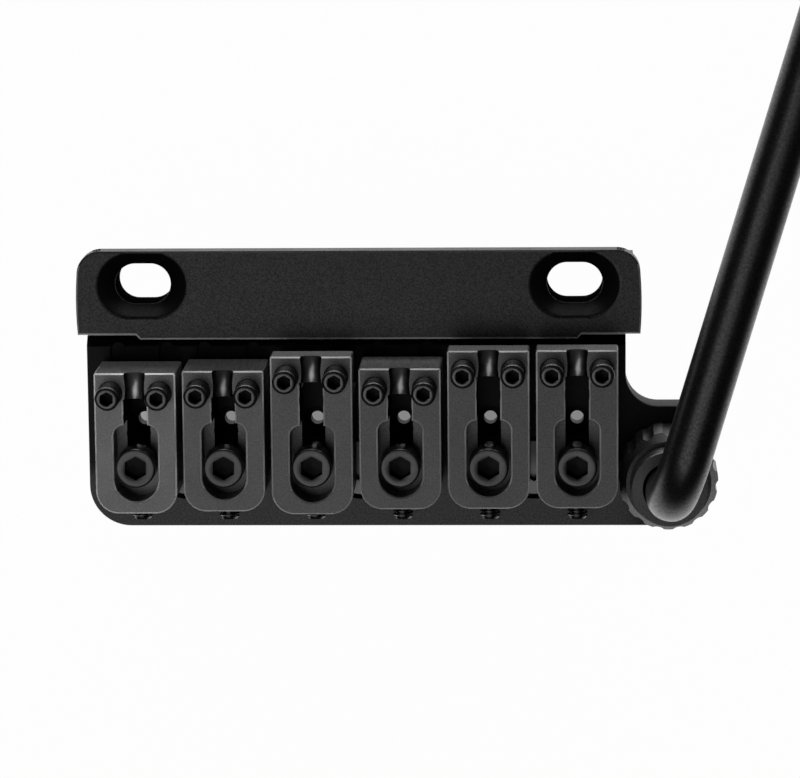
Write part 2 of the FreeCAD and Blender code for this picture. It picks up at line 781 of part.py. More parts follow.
for hand in (-1, 1):
    draw_circle(taps, lug_middle_x * hand, S.pivot_y, set_screw_radius + S.thread_clearance)
cut(base, taps, "set_screw_tap_cut", S.lug_radius + S.cut_overrun)

height_offset = S.height_screw_spacing / 2
grooves = new_sketch(base, "grooves", "XY_Plane", S.base_top_z)
for x in string_xs:
    for hand in (-1, 1):
        draw_upright_slot(grooves, x + height_offset * hand, groove_rear_y, S.groove_front_y,
                          S.groove_width)
cut(base, grooves, "groove_cut", S.groove_depth)
recess_radius = S.string_recess_diameter / 2
recesses = new_sketch(base, "string_recesses", "XY_Plane", S.base_top_z)
for x in string_xs:
    draw_circle(recesses, x, string_recess_front_y - recess_radius, recess_radius)
cut(base, recesses, "string_recess_cut", S.string_recess_depth)
holes = new_sketch(base, "string_holes", "XY_Plane", S.base_top_z)
for x in string_xs:
    draw_circle(holes, x, string_hole_y, S.string_hole_diameter / 2)
cut(base, holes, "string_hole_cut", S.base_thickness + S.cut_overrun)
hold_radius = S.hold_shank_diameter / 2
holes = new_sketch(base, "hold_down_taps", "XY_Plane", S.base_top_z)
for x in string_xs:
    draw_circle(holes, x, hold_down_y, hold_radius + S.thread_clearance)
cut(base, holes, "hold_down_tap_cut", S.base_thickness + S.cut_overrun)
block_xs = [S.string_pitch * -2, ZERO, S.string_pitch * 2]
block_screw_radius = S.block_screw_diameter / 2
wells = new_sketch(base, "counterbores", "XY_Plane", S.base_top_z)
holes = new_sketch(base, "block_screw_holes", "XY_Plane", S.base_top_z)
for x in block_xs:
    draw_circle(wells, x, block_screw_y, S.counterbore_diameter / 2)
    draw_circle(holes, x, block_screw_y, block_screw_radius + S.thread_clearance)
cut(base, wells, "counterbore_cut", S.counterbore_depth)
cut(base, holes, "block_screw_hole_cut", S.base_thickness + S.cut_overrun)
holes = new_sketch(base, "socket_hole", "XY_Plane", S.base_top_z)
draw_circle(holes, socket_x, socket_y, S.socket_thread_diameter / 2 + S.thread_clearance)
cut(base, holes, "socket_hole_cut", S.base_thickness + S.cut_overrun)
nodes.append(base)

# Set screws under the lugs.
screw = new_body("set_screw")
profile = new_sketch(screw, "set_screw_circle", "XY_Plane")
draw_circle(profile, ZERO, ZERO, set_screw_radius)
set_screw_length = S.lug_radius - shaft_radius - S.set_screw_recess - S.thread_clearance
pad(screw, profile, "set_screw_pad", set_screw_length)
socket = new_sketch(screw, "set_screw_hex", "XY_Plane")
draw_hex(socket, ZERO, ZERO, S.set_screw_hex)
cut(screw, socket, "set_screw_hex_cut", S.set_screw_hex_depth, backward=True)
set_screw_z = S.pivot_z - S.lug_radius + S.set_screw_recess
nodes.append(group("shaft_set_screws", screw,
                   [(lug_middle_x * hand, S.pivot_y, set_screw_z) for hand in (-1, 1)]))

# Sustain block: thins toward its foot so the strings drop straight in front of it.
block = new_body("sustain_block")
profile = new_sketch(block, "block_profile", "YZ_Plane")
draw_loop(
    profile,
    (block_front_top_y, base_under),
    (block_rear_y, base_under),
    (block_rear_y, S.block_low_z),
    (block_front_low_y, S.block_low_z))
solid = pad(block, profile, "block_pad", block_half_length * 2, symmetric=True)
bevel(block, solid, "block_bevel", S.block_edge_chamfer,
      lambda edge: flat_at(edge, "Z", S.block_low_z))
taps = new_sketch(block, "block_taps", "XY_Plane", base_under)
for x in block_xs:
    draw_circle(taps, x, block_screw_y, block_screw_radius + S.thread_clearance)
cut(block, taps, "block_tap_cut", S.block_screw_engagement + S.block_thread_extra)
hooks = new_sketch(block, "spring_holes", "XY_Plane", S.block_low_z)
for k in range(-2, 3):
    draw_circle(hooks, S.spring_hole_pitch * k, spring_hole_y, S.spring_hole_diameter / 2)
cut(block, hooks, "spring_hole_cut", S.spring_hole_depth, backward=True)
nodes.append(block)

counterbore_z = S.base_top_z - S.counterbore_depth
screw = cap_screw("block_screw", block_screw_radius, S.block_screw_head_diameter / 2,
                  S.block_screw_head_height, counterbore_z - base_under + S.block_screw_engagement,
                  S.block_screw_hex, S.block_screw_hex_depth, S.hold_head_bevel)
nodes.append(group("block_screws", screw, [(x, block_screw_y, counterbore_z) for x in block_xs]))

# Hold-down screws, one through each saddle's slot into the base plate.
hold_z = S.saddle_top_z + S.hold_head_rise - S.hold_head_height
screw = cap_screw("hold_down_screw", hold_radius, S.hold_head_diameter / 2, S.hold_head_height,
                  hold_z - base_under - S.hold_end_gap, S.hold_hex, S.hold_hex_depth,
                  S.hold_head_bevel)
nodes.append(group("hold_down_screws", screw, [(x, hold_down_y, hold_z) for x in string_xs]))

# Saddles. Each is drawn with its rear face at zero, then placed.
saddle_low_z = S.saddle_top_z - S.saddle_height
saddle_half = S.saddle_width / 2
height_radius = S.height_screw_diameter / 2
intonation_radius = S.intonation_diameter / 2


def make_saddle(label, x, rear_y, length, nosed):
    body = new_body(label)
    corner = S.saddle_corner_radius
    nick = S.saddle_front_chamfer
    outline = new_sketch(body, label + "_outline", "XY_Plane", saddle_low_z)
    draw_loop(
        outline,
        (saddle_half - corner, ZERO),
        (saddle_half, corner, saddle_half - corner, corner, "left"),
        (saddle_half, length - nick),
        (saddle_half - nick, length),
        (-(saddle_half - nick), length),
        (-saddle_half, length - nick),
        (-saddle_half, corner),
        (-(saddle_half - corner), ZERO, -(saddle_half - corner), corner, "left"))
    tip = pad(body, outline, label + "_pad", S.saddle_height)
    well_half = S.saddle_well_width / 2
    well_rear = S.saddle_well_rear + well_half
    slot_half_width = S.saddle_slot_width / 2
    shoulder = well_half - slot_half_width
    well = new_sketch(body, label + "_well", "XY_Plane", S.saddle_top_z)
    draw_loop(
        well,
        (well_half, well_rear, ZERO, well_rear, "left"),
        (well_half, S.saddle_well_front - shoulder),
        (well_half - shoulder, S.saddle_well_front,
         well_half - shoulder, S.saddle_well_front - shoulder, "left"),
        (-(well_half - shoulder), S.saddle_well_front),
        (-well_half, S.saddle_well_front - shoulder,
         -(well_half - shoulder), S.saddle_well_front - shoulder, "left"),
        (-well_half, well_rear))
    cut(body, well, label + "_well_cut", S.saddle_well_depth)
    slot_rear = S.saddle_slot_rear + slot_half_width
    slot_front = length - S.saddle_slot_front_gap
    slot = new_sketch(body, label + "_slot", "XY_Plane", S.saddle_top_z)
    draw_loop(
        slot,
        (slot_half_width, slot_rear, ZERO, slot_rear, "left"),
        (slot_half_width, slot_front),
        (-slot_half_width, slot_front),
        (-slot_half_width, slot_rear))
    tip = cut(body, slot, label + "_slot_cut")
    tip = bevel(body, tip, label + "_bevel", S.saddle_edge_chamfer,
                lambda edge: flat_at(edge, "Z", S.saddle_top_z)
                and not flat_at(edge, "Y", slot_front))
    if nosed:
        undercut = new_sketch(body, label + "_undercut", "YZ_Plane")
        draw_box(undercut, length - S.saddle_undercut, length + S.cut_overrun,
                 saddle_low_z - S.cut_overrun, S.saddle_top_z - S.saddle_nose_thickness)
        cut(body, undercut, label + "_undercut_cut")
    before = body.Shape.Volume
    channel = body.newObject("PartDesign::SubtractiveTorus", label + "_channel")
    channel.AttachmentSupport = [(plane_of(body, "YZ_Plane"), "")]
    channel.MapMode = "FlatFace"
    channel.setExpression("Radius1", (S.channel_floor_radius + S.channel_tube).text)
    channel.setExpression("Radius2", S.channel_tube.text)
    channel.setExpression("AttachmentOffset.Base.x", (length - S.channel_crest_gap).text)
    channel.setExpression("AttachmentOffset.Base.y",
                          (S.saddle_top_z - S.channel_depth - S.channel_floor_radius).text)
    doc.recompute()
    if not body.Shape.Volume < before:
        raise RuntimeError("the string channel removes nothing")
    holes = new_sketch(body, label + "_height_holes", "XY_Plane", S.saddle_top_z)
    for hand in (-1, 1):
        draw_circle(holes, height_offset * hand, length - S.height_screw_front_gap,
                    height_radius + S.running_clearance)
    cut(body, holes, label + "_height_hole_cut")
    hole = new_sketch(body, label + "_rear_hole", "XZ_Plane")
    draw_circle(hole, ZERO, S.intonation_z, intonation_radius + S.running_clearance)
    cut(body, hole, label + "_rear_hole_cut", slot_rear)
    place(body, x, rear_y, ZERO)
    doc.recompute()
    return body


# Height screw: a set screw with a hex socket on top and a narrow tip below.
height_tip_z = S.base_top_z - S.groove_depth
height_top_z = S.saddle_top_z + S.height_screw_rise
height_screw = new_body("height_screw")
profile = new_sketch(height_screw, "height_screw_profile", "XZ_Plane")
tip_radius = S.height_tip_diameter / 2
draw_loop(
    profile,
    (tip_radius, height_tip_z),
    (tip_radius, height_tip_z + S.height_tip_length),
    (height_radius, height_tip_z + S.height_tip_length + S.height_tip_cone),
    (height_radius, height_top_z - S.height_screw_bevel),
    (height_radius - S.height_screw_bevel, height_top_z),
    (ZERO, height_top_z),
    (ZERO, height_tip_z))
turn(height_screw, profile, "height_screw_turn")
socket = new_sketch(height_screw, "height_screw_hex", "XY_Plane", height_top_z)
draw_hex(socket, ZERO, ZERO, S.height_screw_hex)
cut(height_screw, socket, "height_screw_hex_cut", S.height_screw_hex_depth)

# Intonation screw: a set screw along Y, its tip just short of the hold-down screw.
intonation_front_y = hold_down_y - hold_radius - S.intonation_tip_gap
intonation_screw = new_body("intonation_screw")
profile = new_sketch(intonation_screw, "intonation_circle", "XZ_Plane")
draw_circle(profile, ZERO, ZERO, intonation_radius)
stud = pad(intonation_screw, profile, "intonation_pad", S.intonation_length)
bevel(intonation_screw, stud, "intonation_bevel", S.intonation_bevel,
      lambda edge: flat_at(edge, "Y", ZERO) or flat_at(edge, "Y", -S.intonation_length))
socket = new_sketch(intonation_screw, "intonation_hex", "XZ_Plane", S.intonation_length)
draw_hex(socket, ZERO, ZERO, S.intonation_hex)
cut(intonation_screw, socket, "intonation_hex_cut", S.intonation_hex_depth)

setbacks = [S.setback_string_one, S.setback_string_two, S.setback_string_three,
            S.setback_string_four, S.setback_string_five, S.setback_string_six]
rears = [saddle_row_y - setback for setback in setbacks]
noses = [False, False, True, False, True, True]
for number, (x, rear_y, nosed) in enumerate(zip(string_xs, rears, noses), start=1):
    length = S.saddle_long_length if nosed else S.saddle_short_length
    nodes.append(make_saddle("saddle_%d" % number, x, rear_y, length, nosed))
    screw_y = rear_y + length - S.height_screw_front_gap
    nodes.append(group("height_screws_%d" % number, height_screw,
                       [(x + height_offset * hand, screw_y, ZERO) for hand in (-1, 1)]))
    nodes.append(group("intonation_screw_%d" % number, intonation_screw,
                       [(x, intonation_front_y, S.intonation_z)]))

# Arm socket: a sleeve screwed into the ear, with a nylon bush inside.
socket_body = new_body("arm_socket")
profile = new_sketch(socket_body, "socket_profile", "XZ_Plane")
bush_radius = S.bush_diameter / 2
sleeve_radius = S.socket_sleeve_diameter / 2
thread_radius = S.socket_thread_diameter / 2
flange_radius = S.socket_flange_diameter / 2
flange_top_z = S.base_top_z + S.socket_flange_height
draw_loop(
    profile,
    (bush_radius, S.socket_low_z),
    (thread_radius, S.socket_low_z),
    (thread_radius, S.base_top_z),
    (flange_radius, S.base_top_z),
    (flange_radius, flange_top_z),
    (sleeve_radius, flange_top_z),
    (sleeve_radius, S.socket_top_z - S.socket_bevel),
    (sleeve_radius - S.socket_bevel, S.socket_top_z),
    (S.socket_bore_diameter / 2 + S.socket_bevel, S.socket_top_z),
    (S.socket_bore_diameter / 2, S.socket_top_z - S.socket_bevel),
    (S.socket_bore_diameter / 2, S.bush_top_z),
    (bush_radius, S.bush_top_z))
turn(socket_body, profile, "socket_turn")
place(socket_body, socket_x, socket_y, ZERO)
nodes.append(socket_body)

arm_radius = S.arm_diameter / 2
bush = new_body("friction_bush")
profile = new_sketch(bush, "bush_profile", "XZ_Plane")
draw_box(profile, arm_radius + S.running_clearance, bush_radius,
         S.socket_low_z + S.bush_low_gap, S.bush_top_z)
turn(bush, profile, "bush_turn")
place(bush, socket_x, socket_y, ZERO)
nodes.append(bush)

# Thumb wheel on the sleeve.
wheel = new_body("thumb_wheel")
profile = new_sketch(wheel, "wheel_profile", "XZ_Plane")
wheel_radius = S.wheel_diameter / 2
wheel_bore = sleeve_radius + S.running_clearance
wheel_low_z = flange_top_z + S.wheel_lift
wheel_top_z = wheel_low_z + S.wheel_height
draw_loop(
    profile,
    (wheel_bore, wheel_low_z),
    (wheel_radius - S.wheel_foot_bevel, wheel_low_z),
    (wheel_radius, wheel_low_z + S.wheel_foot_bevel),
    (wheel_radius, wheel_top_z - S.wheel_cone_height),
    (wheel_radius - S.wheel_cone_inset, wheel_top_z),
    (wheel_bore, wheel_top_z))
turn(wheel, profile, "wheel_turn")
flute = new_sketch(wheel, "wheel_flute", "XY_Plane", wheel_top_z)
draw_circle(flute, ZERO, wheel_radius - S.flute_depth + S.flute_diameter / 2, S.flute_diameter / 2)
flute_cut = cut(wheel, flute, "wheel_flute_cut", S.wheel_height + S.cut_overrun)
pattern = wheel.newObject("PartDesign::PolarPattern", "wheel_flutes")
pattern.Originals = [flute_cut]
pattern.Axis = (flute, ["N_Axis"])
pattern.Angle = 360
pattern.setExpression("Occurrences", S.flute_count.text)
wheel.Tip = pattern
doc.recompute()
place(wheel, socket_x, socket_y, ZERO)
nodes.append(wheel)

# Arm: one round rod swept along a stem, a bend and a level run.
arm = new_body("tremolo_arm")
path = new_sketch(arm, "arm_path", "YZ_Plane")
bend_z = S.arm_run_z - S.arm_bend_radius
stem = path.addGeometry(Part.LineSegment(Vector(0, S.arm_low_z.value, 0), Vector(0, bend_z.value, 0)))
circle = Part.Circle(Vector(S.arm_bend_radius.value, bend_z.value, 0), Vector(0, 0, 1),
                     S.arm_bend_radius.value)
bend = path.addGeometry(Part.ArcOfCircle(circle, math.pi / 2, math.pi))
run = path.addGeometry(Part.LineSegment(Vector(S.arm_bend_radius.value, S.arm_run_z.value, 0),
                                        Vector(S.arm_run_length.value, S.arm_run_z.value, 0)))
path.addConstraint(Sketcher.Constraint("Coincident", stem, 2, bend, 2))
path.addConstraint(Sketcher.Constraint("Coincident", bend, 1, run, 1))
for element, point, across, up in ((stem, 1, ZERO, S.arm_low_z), (stem, 2, ZERO, bend_z),
                                   (run, 1, S.arm_bend_radius, S.arm_run_z),
                                   (run, 2, S.arm_run_length, S.arm_run_z)):
    hold(path, "DistanceX", element, point, across)
    hold(path, "DistanceY", element, point, up)
hold(path, "DistanceX", bend, 3, S.arm_bend_radius)
section = new_sketch(arm, "arm_section", "XY_Plane", S.arm_low_z)
draw_circle(section, ZERO, ZERO, arm_radius)
sweep = arm.newObject("PartDesign::AdditivePipe", "arm_sweep")
sweep.Profile = section
sweep.Spine = path
path.Visibility = False
section.Visibility = False
doc.recompute()
foot_bevel = bevel(arm, sweep, "arm_foot_bevel", S.arm_low_bevel,
                   lambda edge: flat_at(edge, "Z", S.arm_low_z))
ends = ["Edge%d" % (k + 1) for k, edge in enumerate(foot_bevel.Shape.Edges)
        if flat_at(edge, "Y", S.arm_run_length)]
end_round = arm.newObject("PartDesign::Fillet", "arm_end")
end_round.Base = (foot_bevel, ends)
end_round.setExpression("Radius", S.arm_end_round.text)
arm.Placement = FreeCAD.Placement(Vector(), FreeCAD.Rotation(Vector(0, 0, 1), -S.arm_turn_deg.value))
arm.setExpression("Placement.Rotation.Angle", "(0 - Sizes.arm_turn_deg) * 1 deg")
place(arm, socket_x, socket_y, ZERO)
nodes.append(arm)

doc.recompute()
for thing in doc.Objects:
    if "Invalid" in thing.State or "Error" in thing.State:
        raise RuntimeError("%s did not build: %s" % (thing.Label, thing.State))
os.makedirs("parts", exist_ok=True)
for node in nodes:
    if node.Shape.isNull() or not node.Shape.isValid():
        raise RuntimeError("%s has no valid shape" % node.Label)
    node.Shape.exportStep("parts/%s.step" % node.Label)
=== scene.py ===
import math

import bmesh
import bpy
from mathutils import Matrix, Vector


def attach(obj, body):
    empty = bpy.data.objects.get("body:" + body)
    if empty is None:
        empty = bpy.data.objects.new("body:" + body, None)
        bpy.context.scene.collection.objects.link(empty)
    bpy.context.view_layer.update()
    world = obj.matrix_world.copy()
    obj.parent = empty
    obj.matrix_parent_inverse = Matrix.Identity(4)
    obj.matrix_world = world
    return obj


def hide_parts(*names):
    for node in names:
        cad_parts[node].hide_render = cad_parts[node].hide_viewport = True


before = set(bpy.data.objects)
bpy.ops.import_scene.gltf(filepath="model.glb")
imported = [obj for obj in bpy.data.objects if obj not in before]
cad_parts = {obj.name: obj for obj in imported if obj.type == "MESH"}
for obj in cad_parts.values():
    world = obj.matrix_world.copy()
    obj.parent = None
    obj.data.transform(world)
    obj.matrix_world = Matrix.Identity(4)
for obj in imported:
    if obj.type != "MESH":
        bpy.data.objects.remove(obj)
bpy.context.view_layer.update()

# Front plate: the milled bar that is screwed to the guitar top through two dished slots.
# Aluminium under a satin black coat, which stays dull on the front chamfer and in the dishes. The rear
# chamfer is painted near-white as if worn to bare metal: a painted highlight for the light it catches.
plate_top = 0.0068
plate_chamfer = 0.00024
slot_x = 0.0260
slot_reach_x = 0.0060
slot_reach_y = 0.0045
slot_lip = 0.0052
plate_grain = 5200.0
grain_depth = 0.00002
plate_black = (0.0026, 0.0026, 0.0028, 1.0)
plate_worn = (0.30, 0.30, 0.30, 1.0)
plate_dull = (0.004, 0.004, 0.004, 1.0)
plate_dull_worn = (0.03, 0.03, 0.03, 1.0)
# Painted highlight: the rear chamfer's near-white tones stand in for the light it catches, made to look
# like bare metal.
plate_rear_highlight = (0.90, 0.90, 0.90, 1.0)
plate_rear_highlight_worn = (0.96, 0.96, 0.96, 1.0)
slot_wall_black = (0.02, 0.02, 0.02, 1.0)


def feed(tree, socket, value):
    """Sets a node's input, by a link where the value comes from another node."""
    if isinstance(value, bpy.types.NodeSocket):
        tree.links.new(value, socket)
    else:
        socket.default_value = value


def spread(tree, value, start, end, low=0.0, high=1.0, eased=False):
    """Carries a value over from one range to another, with soft ends where it is eased."""
    node = tree.nodes.new("ShaderNodeMapRange")
    if eased:
        node.interpolation_type = "SMOOTHSTEP"
    for name, given in (("Value", value), ("From Min", start), ("From Max", end), ("To Min", low),
                        ("To Max", high)):
        feed(tree, node.inputs[name], given)
    return node.outputs["Result"]


def reckon(tree, step, *values, clamp=False):
    """One step of arithmetic on the values given."""
    node = tree.nodes.new("ShaderNodeMath")
    node.operation = step
    node.use_clamp = clamp
    for socket, value in zip(node.inputs, values):
        feed(tree, socket, value)
    return node.outputs["Value"]


def build_satin_coat():
    """The fine grain, cloudy sheen and rubbed edges that all the black coats here share."""
    group = bpy.data.node_groups.new("satin_coat", "ShaderNodeTree")
    sockets = group.interface
    for name, kind, value in (
        ("Tone", "NodeSocketColor", (0.01, 0.01, 0.01, 1.0)),
        ("Worn Tone", "NodeSocketColor", (0.06, 0.06, 0.06, 1.0)),
        ("Rub", "NodeSocketFloat", 0.0),
        ("Grain Scale", "NodeSocketFloat", 6000.0),
        ("Grain Stretch", "NodeSocketVector", (1.0, 1.0, 1.0)),
        ("Grain Tone", "NodeSocketFloat", 0.1),
        ("Smooth", "NodeSocketFloat", 0.36),
        ("Rough", "NodeSocketFloat", 0.46),
        ("Gloss Low", "NodeSocketFloat", 0.2),
        ("Gloss High", "NodeSocketFloat", 0.8),
    ):
        socket = sockets.new_socket(name, in_out="INPUT", socket_type=kind)
        socket.default_value = value
    sockets.new_socket("Colour", in_out="OUTPUT", socket_type="NodeSocketColor")
    sockets.new_socket("Roughness", in_out="OUTPUT", socket_type="NodeSocketFloat")
    sockets.new_socket("Height", in_out="OUTPUT", socket_type="NodeSocketFloat")
    sockets.new_socket("Gloss", in_out="OUTPUT", socket_type="NodeSocketFloat")
    nodes, links = group.nodes, group.links
    given = nodes.new("NodeGroupInput")
    result = nodes.new("NodeGroupOutput")
    place = nodes.new("ShaderNodeTexCoord")

    drawn = nodes.new("ShaderNodeVectorMath")
    drawn.operation = "MULTIPLY"
    links.new(place.outputs["Object"], drawn.inputs[0])
    links.new(given.outputs["Grain Stretch"], drawn.inputs[1])
    grain = nodes.new("ShaderNodeTexNoise")
    grain.inputs["Detail"].default_value = 3.0
    grain.inputs["Roughness"].default_value = 0.65
    links.new(drawn.outputs[0], grain.inputs["Vector"])
    links.new(given.outputs["Grain Scale"], grain.inputs["Scale"])

    cloud = nodes.new("ShaderNodeTexNoise")
    cloud.inputs["Scale"].default_value = 170.0
    cloud.inputs["Detail"].default_value = 5.0
    cloud.inputs["Roughness"].default_value = 0.6
    links.new(place.outputs["Object"], cloud.inputs["Vector"])

    grain_share = spread(group, grain.outputs["Fac"], 0.32, 0.72, high=given.outputs["Grain Tone"])
    cloud_share = spread(group, cloud.outputs["Fac"], 0.40, 0.75, high=0.02)
    patchy = spread(group, cloud.outputs["Fac"], 0.30, 0.65, low=0.45)
    rubbed = reckon(group, "MULTIPLY", patchy, given.outputs["Rub"])
    mottle = reckon(group, "ADD", grain_share, cloud_share)
    colour = nodes.new("ShaderNodeMix")
    colour.data_type = "RGBA"
    links.new(reckon(group, "ADD", mottle, rubbed, clamp=True), colour.inputs["Factor"])
    links.new(given.outputs["Tone"], colour.inputs["A"])
    links.new(given.outputs["Worn Tone"], colour.inputs["B"])

    sheen = spread(group, cloud.outputs["Fac"], 0.30, 0.70, given.outputs["Smooth"], given.outputs["Rough"])
    polish = reckon(group, "MULTIPLY_ADD", rubbed, -0.10, sheen)
    glint = spread(group, grain.outputs["Fac"], 0.34, 0.66, given.outputs["Gloss Low"],
                   given.outputs["Gloss High"])
    links.new(colour.outputs["Result"], result.inputs["Colour"])
    links.new(polish, result.inputs["Roughness"])
    links.new(grain.outputs["Fac"], result.inputs["Height"])
    links.new(glint, result.inputs["Gloss"])
    return group


satin_coat = build_satin_coat()


def place_coat(tree, tone, worn, grain, grain_tone, smooth, rough, stretch):
    """The shared coat with one finish's own tones, grain and sheen, feeding the finish's shader."""
    coat = tree.nodes.new("ShaderNodeGroup")
    coat.node_tree = satin_coat
    for name, value in (("Tone", tone), ("Worn Tone", worn), ("Grain Scale", grain), ("Smooth", smooth),
                        ("Grain Tone", grain_tone), ("Rough", rough), ("Grain Stretch", stretch)):
        coat.inputs[name].default_value = value
    shader = tree.nodes["Principled BSDF"]
    tree.links.new(coat.outputs["Colour"], shader.inputs["Base Color"])
    tree.links.new(coat.outputs["Roughness"], shader.inputs["Roughness"])
    return coat


def coat_material(name, tone, worn, grain, grain_tone, smooth, rough, bump, stretch=(1, 1, 1),
                  specular=0.25, gloss=(0.1, 0.9), metal=0.0):
    """A satin coat with a grain of its own, lighter where the piece's rub attribute says so."""
    material = bpy.data.materials.new(name)
    material.use_nodes = True
    nodes, links = material.node_tree.nodes, material.node_tree.links
    shader = nodes["Principled BSDF"]
    shader.inputs["Specular IOR Level"].default_value = specular
    shader.inputs["Metallic"].default_value = metal
    shader.inputs["Coat Roughness"].default_value = (smooth + rough) / 2
    coat = place_coat(material.node_tree, tone, worn, grain, grain_tone, smooth, rough, stretch)
    coat.inputs["Gloss Low"].default_value, coat.inputs["Gloss High"].default_value = gloss
    rub = nodes.new("ShaderNodeAttribute")
    rub.attribute_name = "rub"
    links.new(rub.outputs["Fac"], coat.inputs["Rub"])
    dents = nodes.new("ShaderNodeBump")
    dents.inputs["Strength"].default_value = bump
    dents.inputs["Distance"].default_value = grain_depth
    links.new(coat.outputs["Height"], dents.inputs["Height"])
    links.new(dents.outputs["Normal"], shader.inputs["Normal"])
    if any(gloss):
        links.new(coat.outputs["Gloss"], shader.inputs["Coat Weight"])
    return material


def fit(piece, body, slot, *nodes):
    """Puts a finished piece on its body, in place of the nodes it replaces. slot is not used."""
    bpy.context.scene.collection.objects.link(piece)
    if nodes:
        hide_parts(*nodes)
    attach(piece, body)


def is_flat(normal):
    return max(abs(normal.x), abs(normal.y), abs(normal.z)) > 0.99999


def is_wall(normal):
    return abs(normal.z) < 0.2


def is_chamfer(normal):
    return 0.5 < normal.z < 0.9


def coat_machined(node, body, slot, materials, rubbed=None, crease=28.0, choose=None, ease=None):
    """A merged copy of a machined node with smooth rounds. Where ease is given, the flats stay sharp and
    the rubbed chamfers are rounded by that much. rubbed tells how far a face takes its coat's worn tone,
    from 0 to 1, which is wear and, on the saddles, partly a painted highlight, and choose its place in
    the list of materials."""
    bm = bmesh.new()
    bm.from_mesh(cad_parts[node].data)
    bmesh.ops.remove_doubles(bm, verts=bm.verts, dist=1e-6)
    bm.normal_update()
    if ease:
        bmesh.ops.dissolve_limit(bm, angle_limit=math.radians(0.6), verts=bm.verts, edges=bm.edges)
        bm.normal_update()
        rims = [edge for edge in bm.edges if len(edge.link_faces) == 2
                and sum(rubbed(face.normal, face.calc_center_median()) > 0 for face in edge.link_faces) == 1
                and any(is_flat(face.normal) for face in edge.link_faces)]
        bmesh.ops.bevel(bm, geom=rims, offset=ease, offset_type="OFFSET", segments=2, profile=0.5,
                        affect="EDGES", clamp_overlap=True, material=-1)
    bm.normal_update()
    rub = bm.faces.layers.float.new("rub")
    for face in bm.faces:
        face.smooth = True
        face[rub] = rubbed(face.normal, face.calc_center_median()) if rubbed else 0.0
        face.material_index = choose(face.normal, face.calc_center_median()) if choose else 0
    for edge in bm.edges:
        angle = edge.calc_face_angle(0.0)
        flat = ease is not None and any(is_flat(face.normal) for face in edge.link_faces)
        edge.smooth = angle < math.radians(0.6 if flat else crease)
    mesh = bpy.data.meshes.new(node + "_machined")
    bm.to_mesh(mesh)
    bm.free()
    if "custom_normal" in mesh.attributes:
        mesh.attributes.remove(mesh.attributes["custom_normal"])
    for material in materials:
        mesh.materials.append(material)
    fit(bpy.data.objects.new(node + "_coated", mesh), body, slot, node)


plate_coat = coat_material("plate_satin_black", plate_black, plate_worn, grain=plate_grain,
                           grain_tone=0.01, smooth=0.36, rough=0.46, bump=0.16, specular=0.22)
slot_coat = coat_material("plate_slot_wall", slot_wall_black, plate_worn, grain=4200.0, grain_tone=0.03,
                          smooth=0.60, rough=0.75, bump=0.20, stretch=(1.0, 1.0, 6.0), specular=0.0,
                          gloss=(0.0, 0.0))
plate_wall_coat = coat_material("plate_front_wall", plate_black, plate_worn, grain=plate_grain,
                                grain_tone=0.01, smooth=0.36, rough=0.46, bump=0.16, specular=0.14,
                                gloss=(0.05, 0.55))
plate_dull_coat = coat_material("plate_front_edge", plate_dull, plate_dull_worn, grain=plate_grain,
                                grain_tone=0.02, smooth=0.40, rough=0.50, bump=0.16, specular=0.05,
                                gloss=(0.0, 0.12))
plate_rear_highlight_edge = coat_material("plate_rear_edge", plate_rear_highlight, plate_rear_highlight_worn, grain=plate_grain,
                                grain_tone=0.10, smooth=0.40, rough=0.50, bump=0.16, specular=0.5)


def in_slot(spot):
    return abs(abs(spot.x) - slot_x) < slot_reach_x and abs(spot.y) < slot_reach_y


def on_plate_edge(normal, spot):
    return is_chamfer(normal) and spot.z > plate_top - plate_chamfer and not in_slot(spot)


def plate_part(normal, spot):
    """0 for the plain coat, 1 for the slots' walls, 2 for the front wall, 3 for the dull front edge and
    the slots' dishes, 4 for the rear edge, whose near-white is a painted highlight."""
    if in_slot(spot) and normal.z < 0.98:
        return 1 if is_wall(normal) and spot.z < slot_lip else 3
    if on_plate_edge(normal, spot):
        return 3 if normal.y > 0.3 else 4 if normal.y < -0.3 else 0
    return 2 if normal.y > 0.3 and is_wall(normal) else 0


coat_machined("front_plate", "mount", "plate_coat",
              [plate_coat, slot_coat, plate_wall_coat, plate_dull_coat, plate_rear_highlight_edge], ease=0.0,
              rubbed=on_plate_edge, choose=plate_part)

# Bearing blocks: two housings hung under the front plate, each held by two small cap screws.
# Milled from the same bar and coated with it; their screws are blackened steel.
block_coat = coat_material("bearing_block_black", (0.004, 0.004, 0.004, 1.0), plate_worn, grain=4200.0,
                           grain_tone=0.015, smooth=0.40, rough=0.52, bump=0.20)
screw_black = (0.095, 0.095, 0.098, 1.0)
screw_worn = (0.19, 0.19, 0.19, 1.0)
small_screw_steel = coat_material("small_screw_black", screw_black, screw_worn, grain=7000.0,
                                  grain_tone=0.20, smooth=0.26, rough=0.38, bump=0.12, gloss=(0.0, 0.0),
                                  metal=1.0)
for side in ("bass", "treble"):
    coat_machined("bearing_block_" + side, "mount", "plate_coat", [block_coat])
coat_machined("bearing_block_screws", "mount", "screw_black", [small_screw_steel])

# Ball bearings: two miniature bearings pressed into the housings, which let the bridge rock.
# Bright hardened steel rings and balls, ground smooth, with a trace of oil on them.
steel_light = (0.62, 0.62, 0.63, 1.0)
steel_oily = (0.40, 0.38, 0.34, 1.0)
steel_grain = 2600.0
steel_grain_tone = 0.35
grinding_marks = (6.0, 1.0, 1.0)


def ground_steel(name, smooth, rough):
    """Bright metal with fine marks along X, from the grinding wheel."""
    material = bpy.data.materials.new(name)
    material.use_nodes = True
    tree = material.node_tree
    tree.nodes["Principled BSDF"].inputs["Metallic"].default_value = 1.0
    place_coat(tree, steel_light, steel_oily, steel_grain, steel_grain_tone, smooth, rough, grinding_marks)
    return material


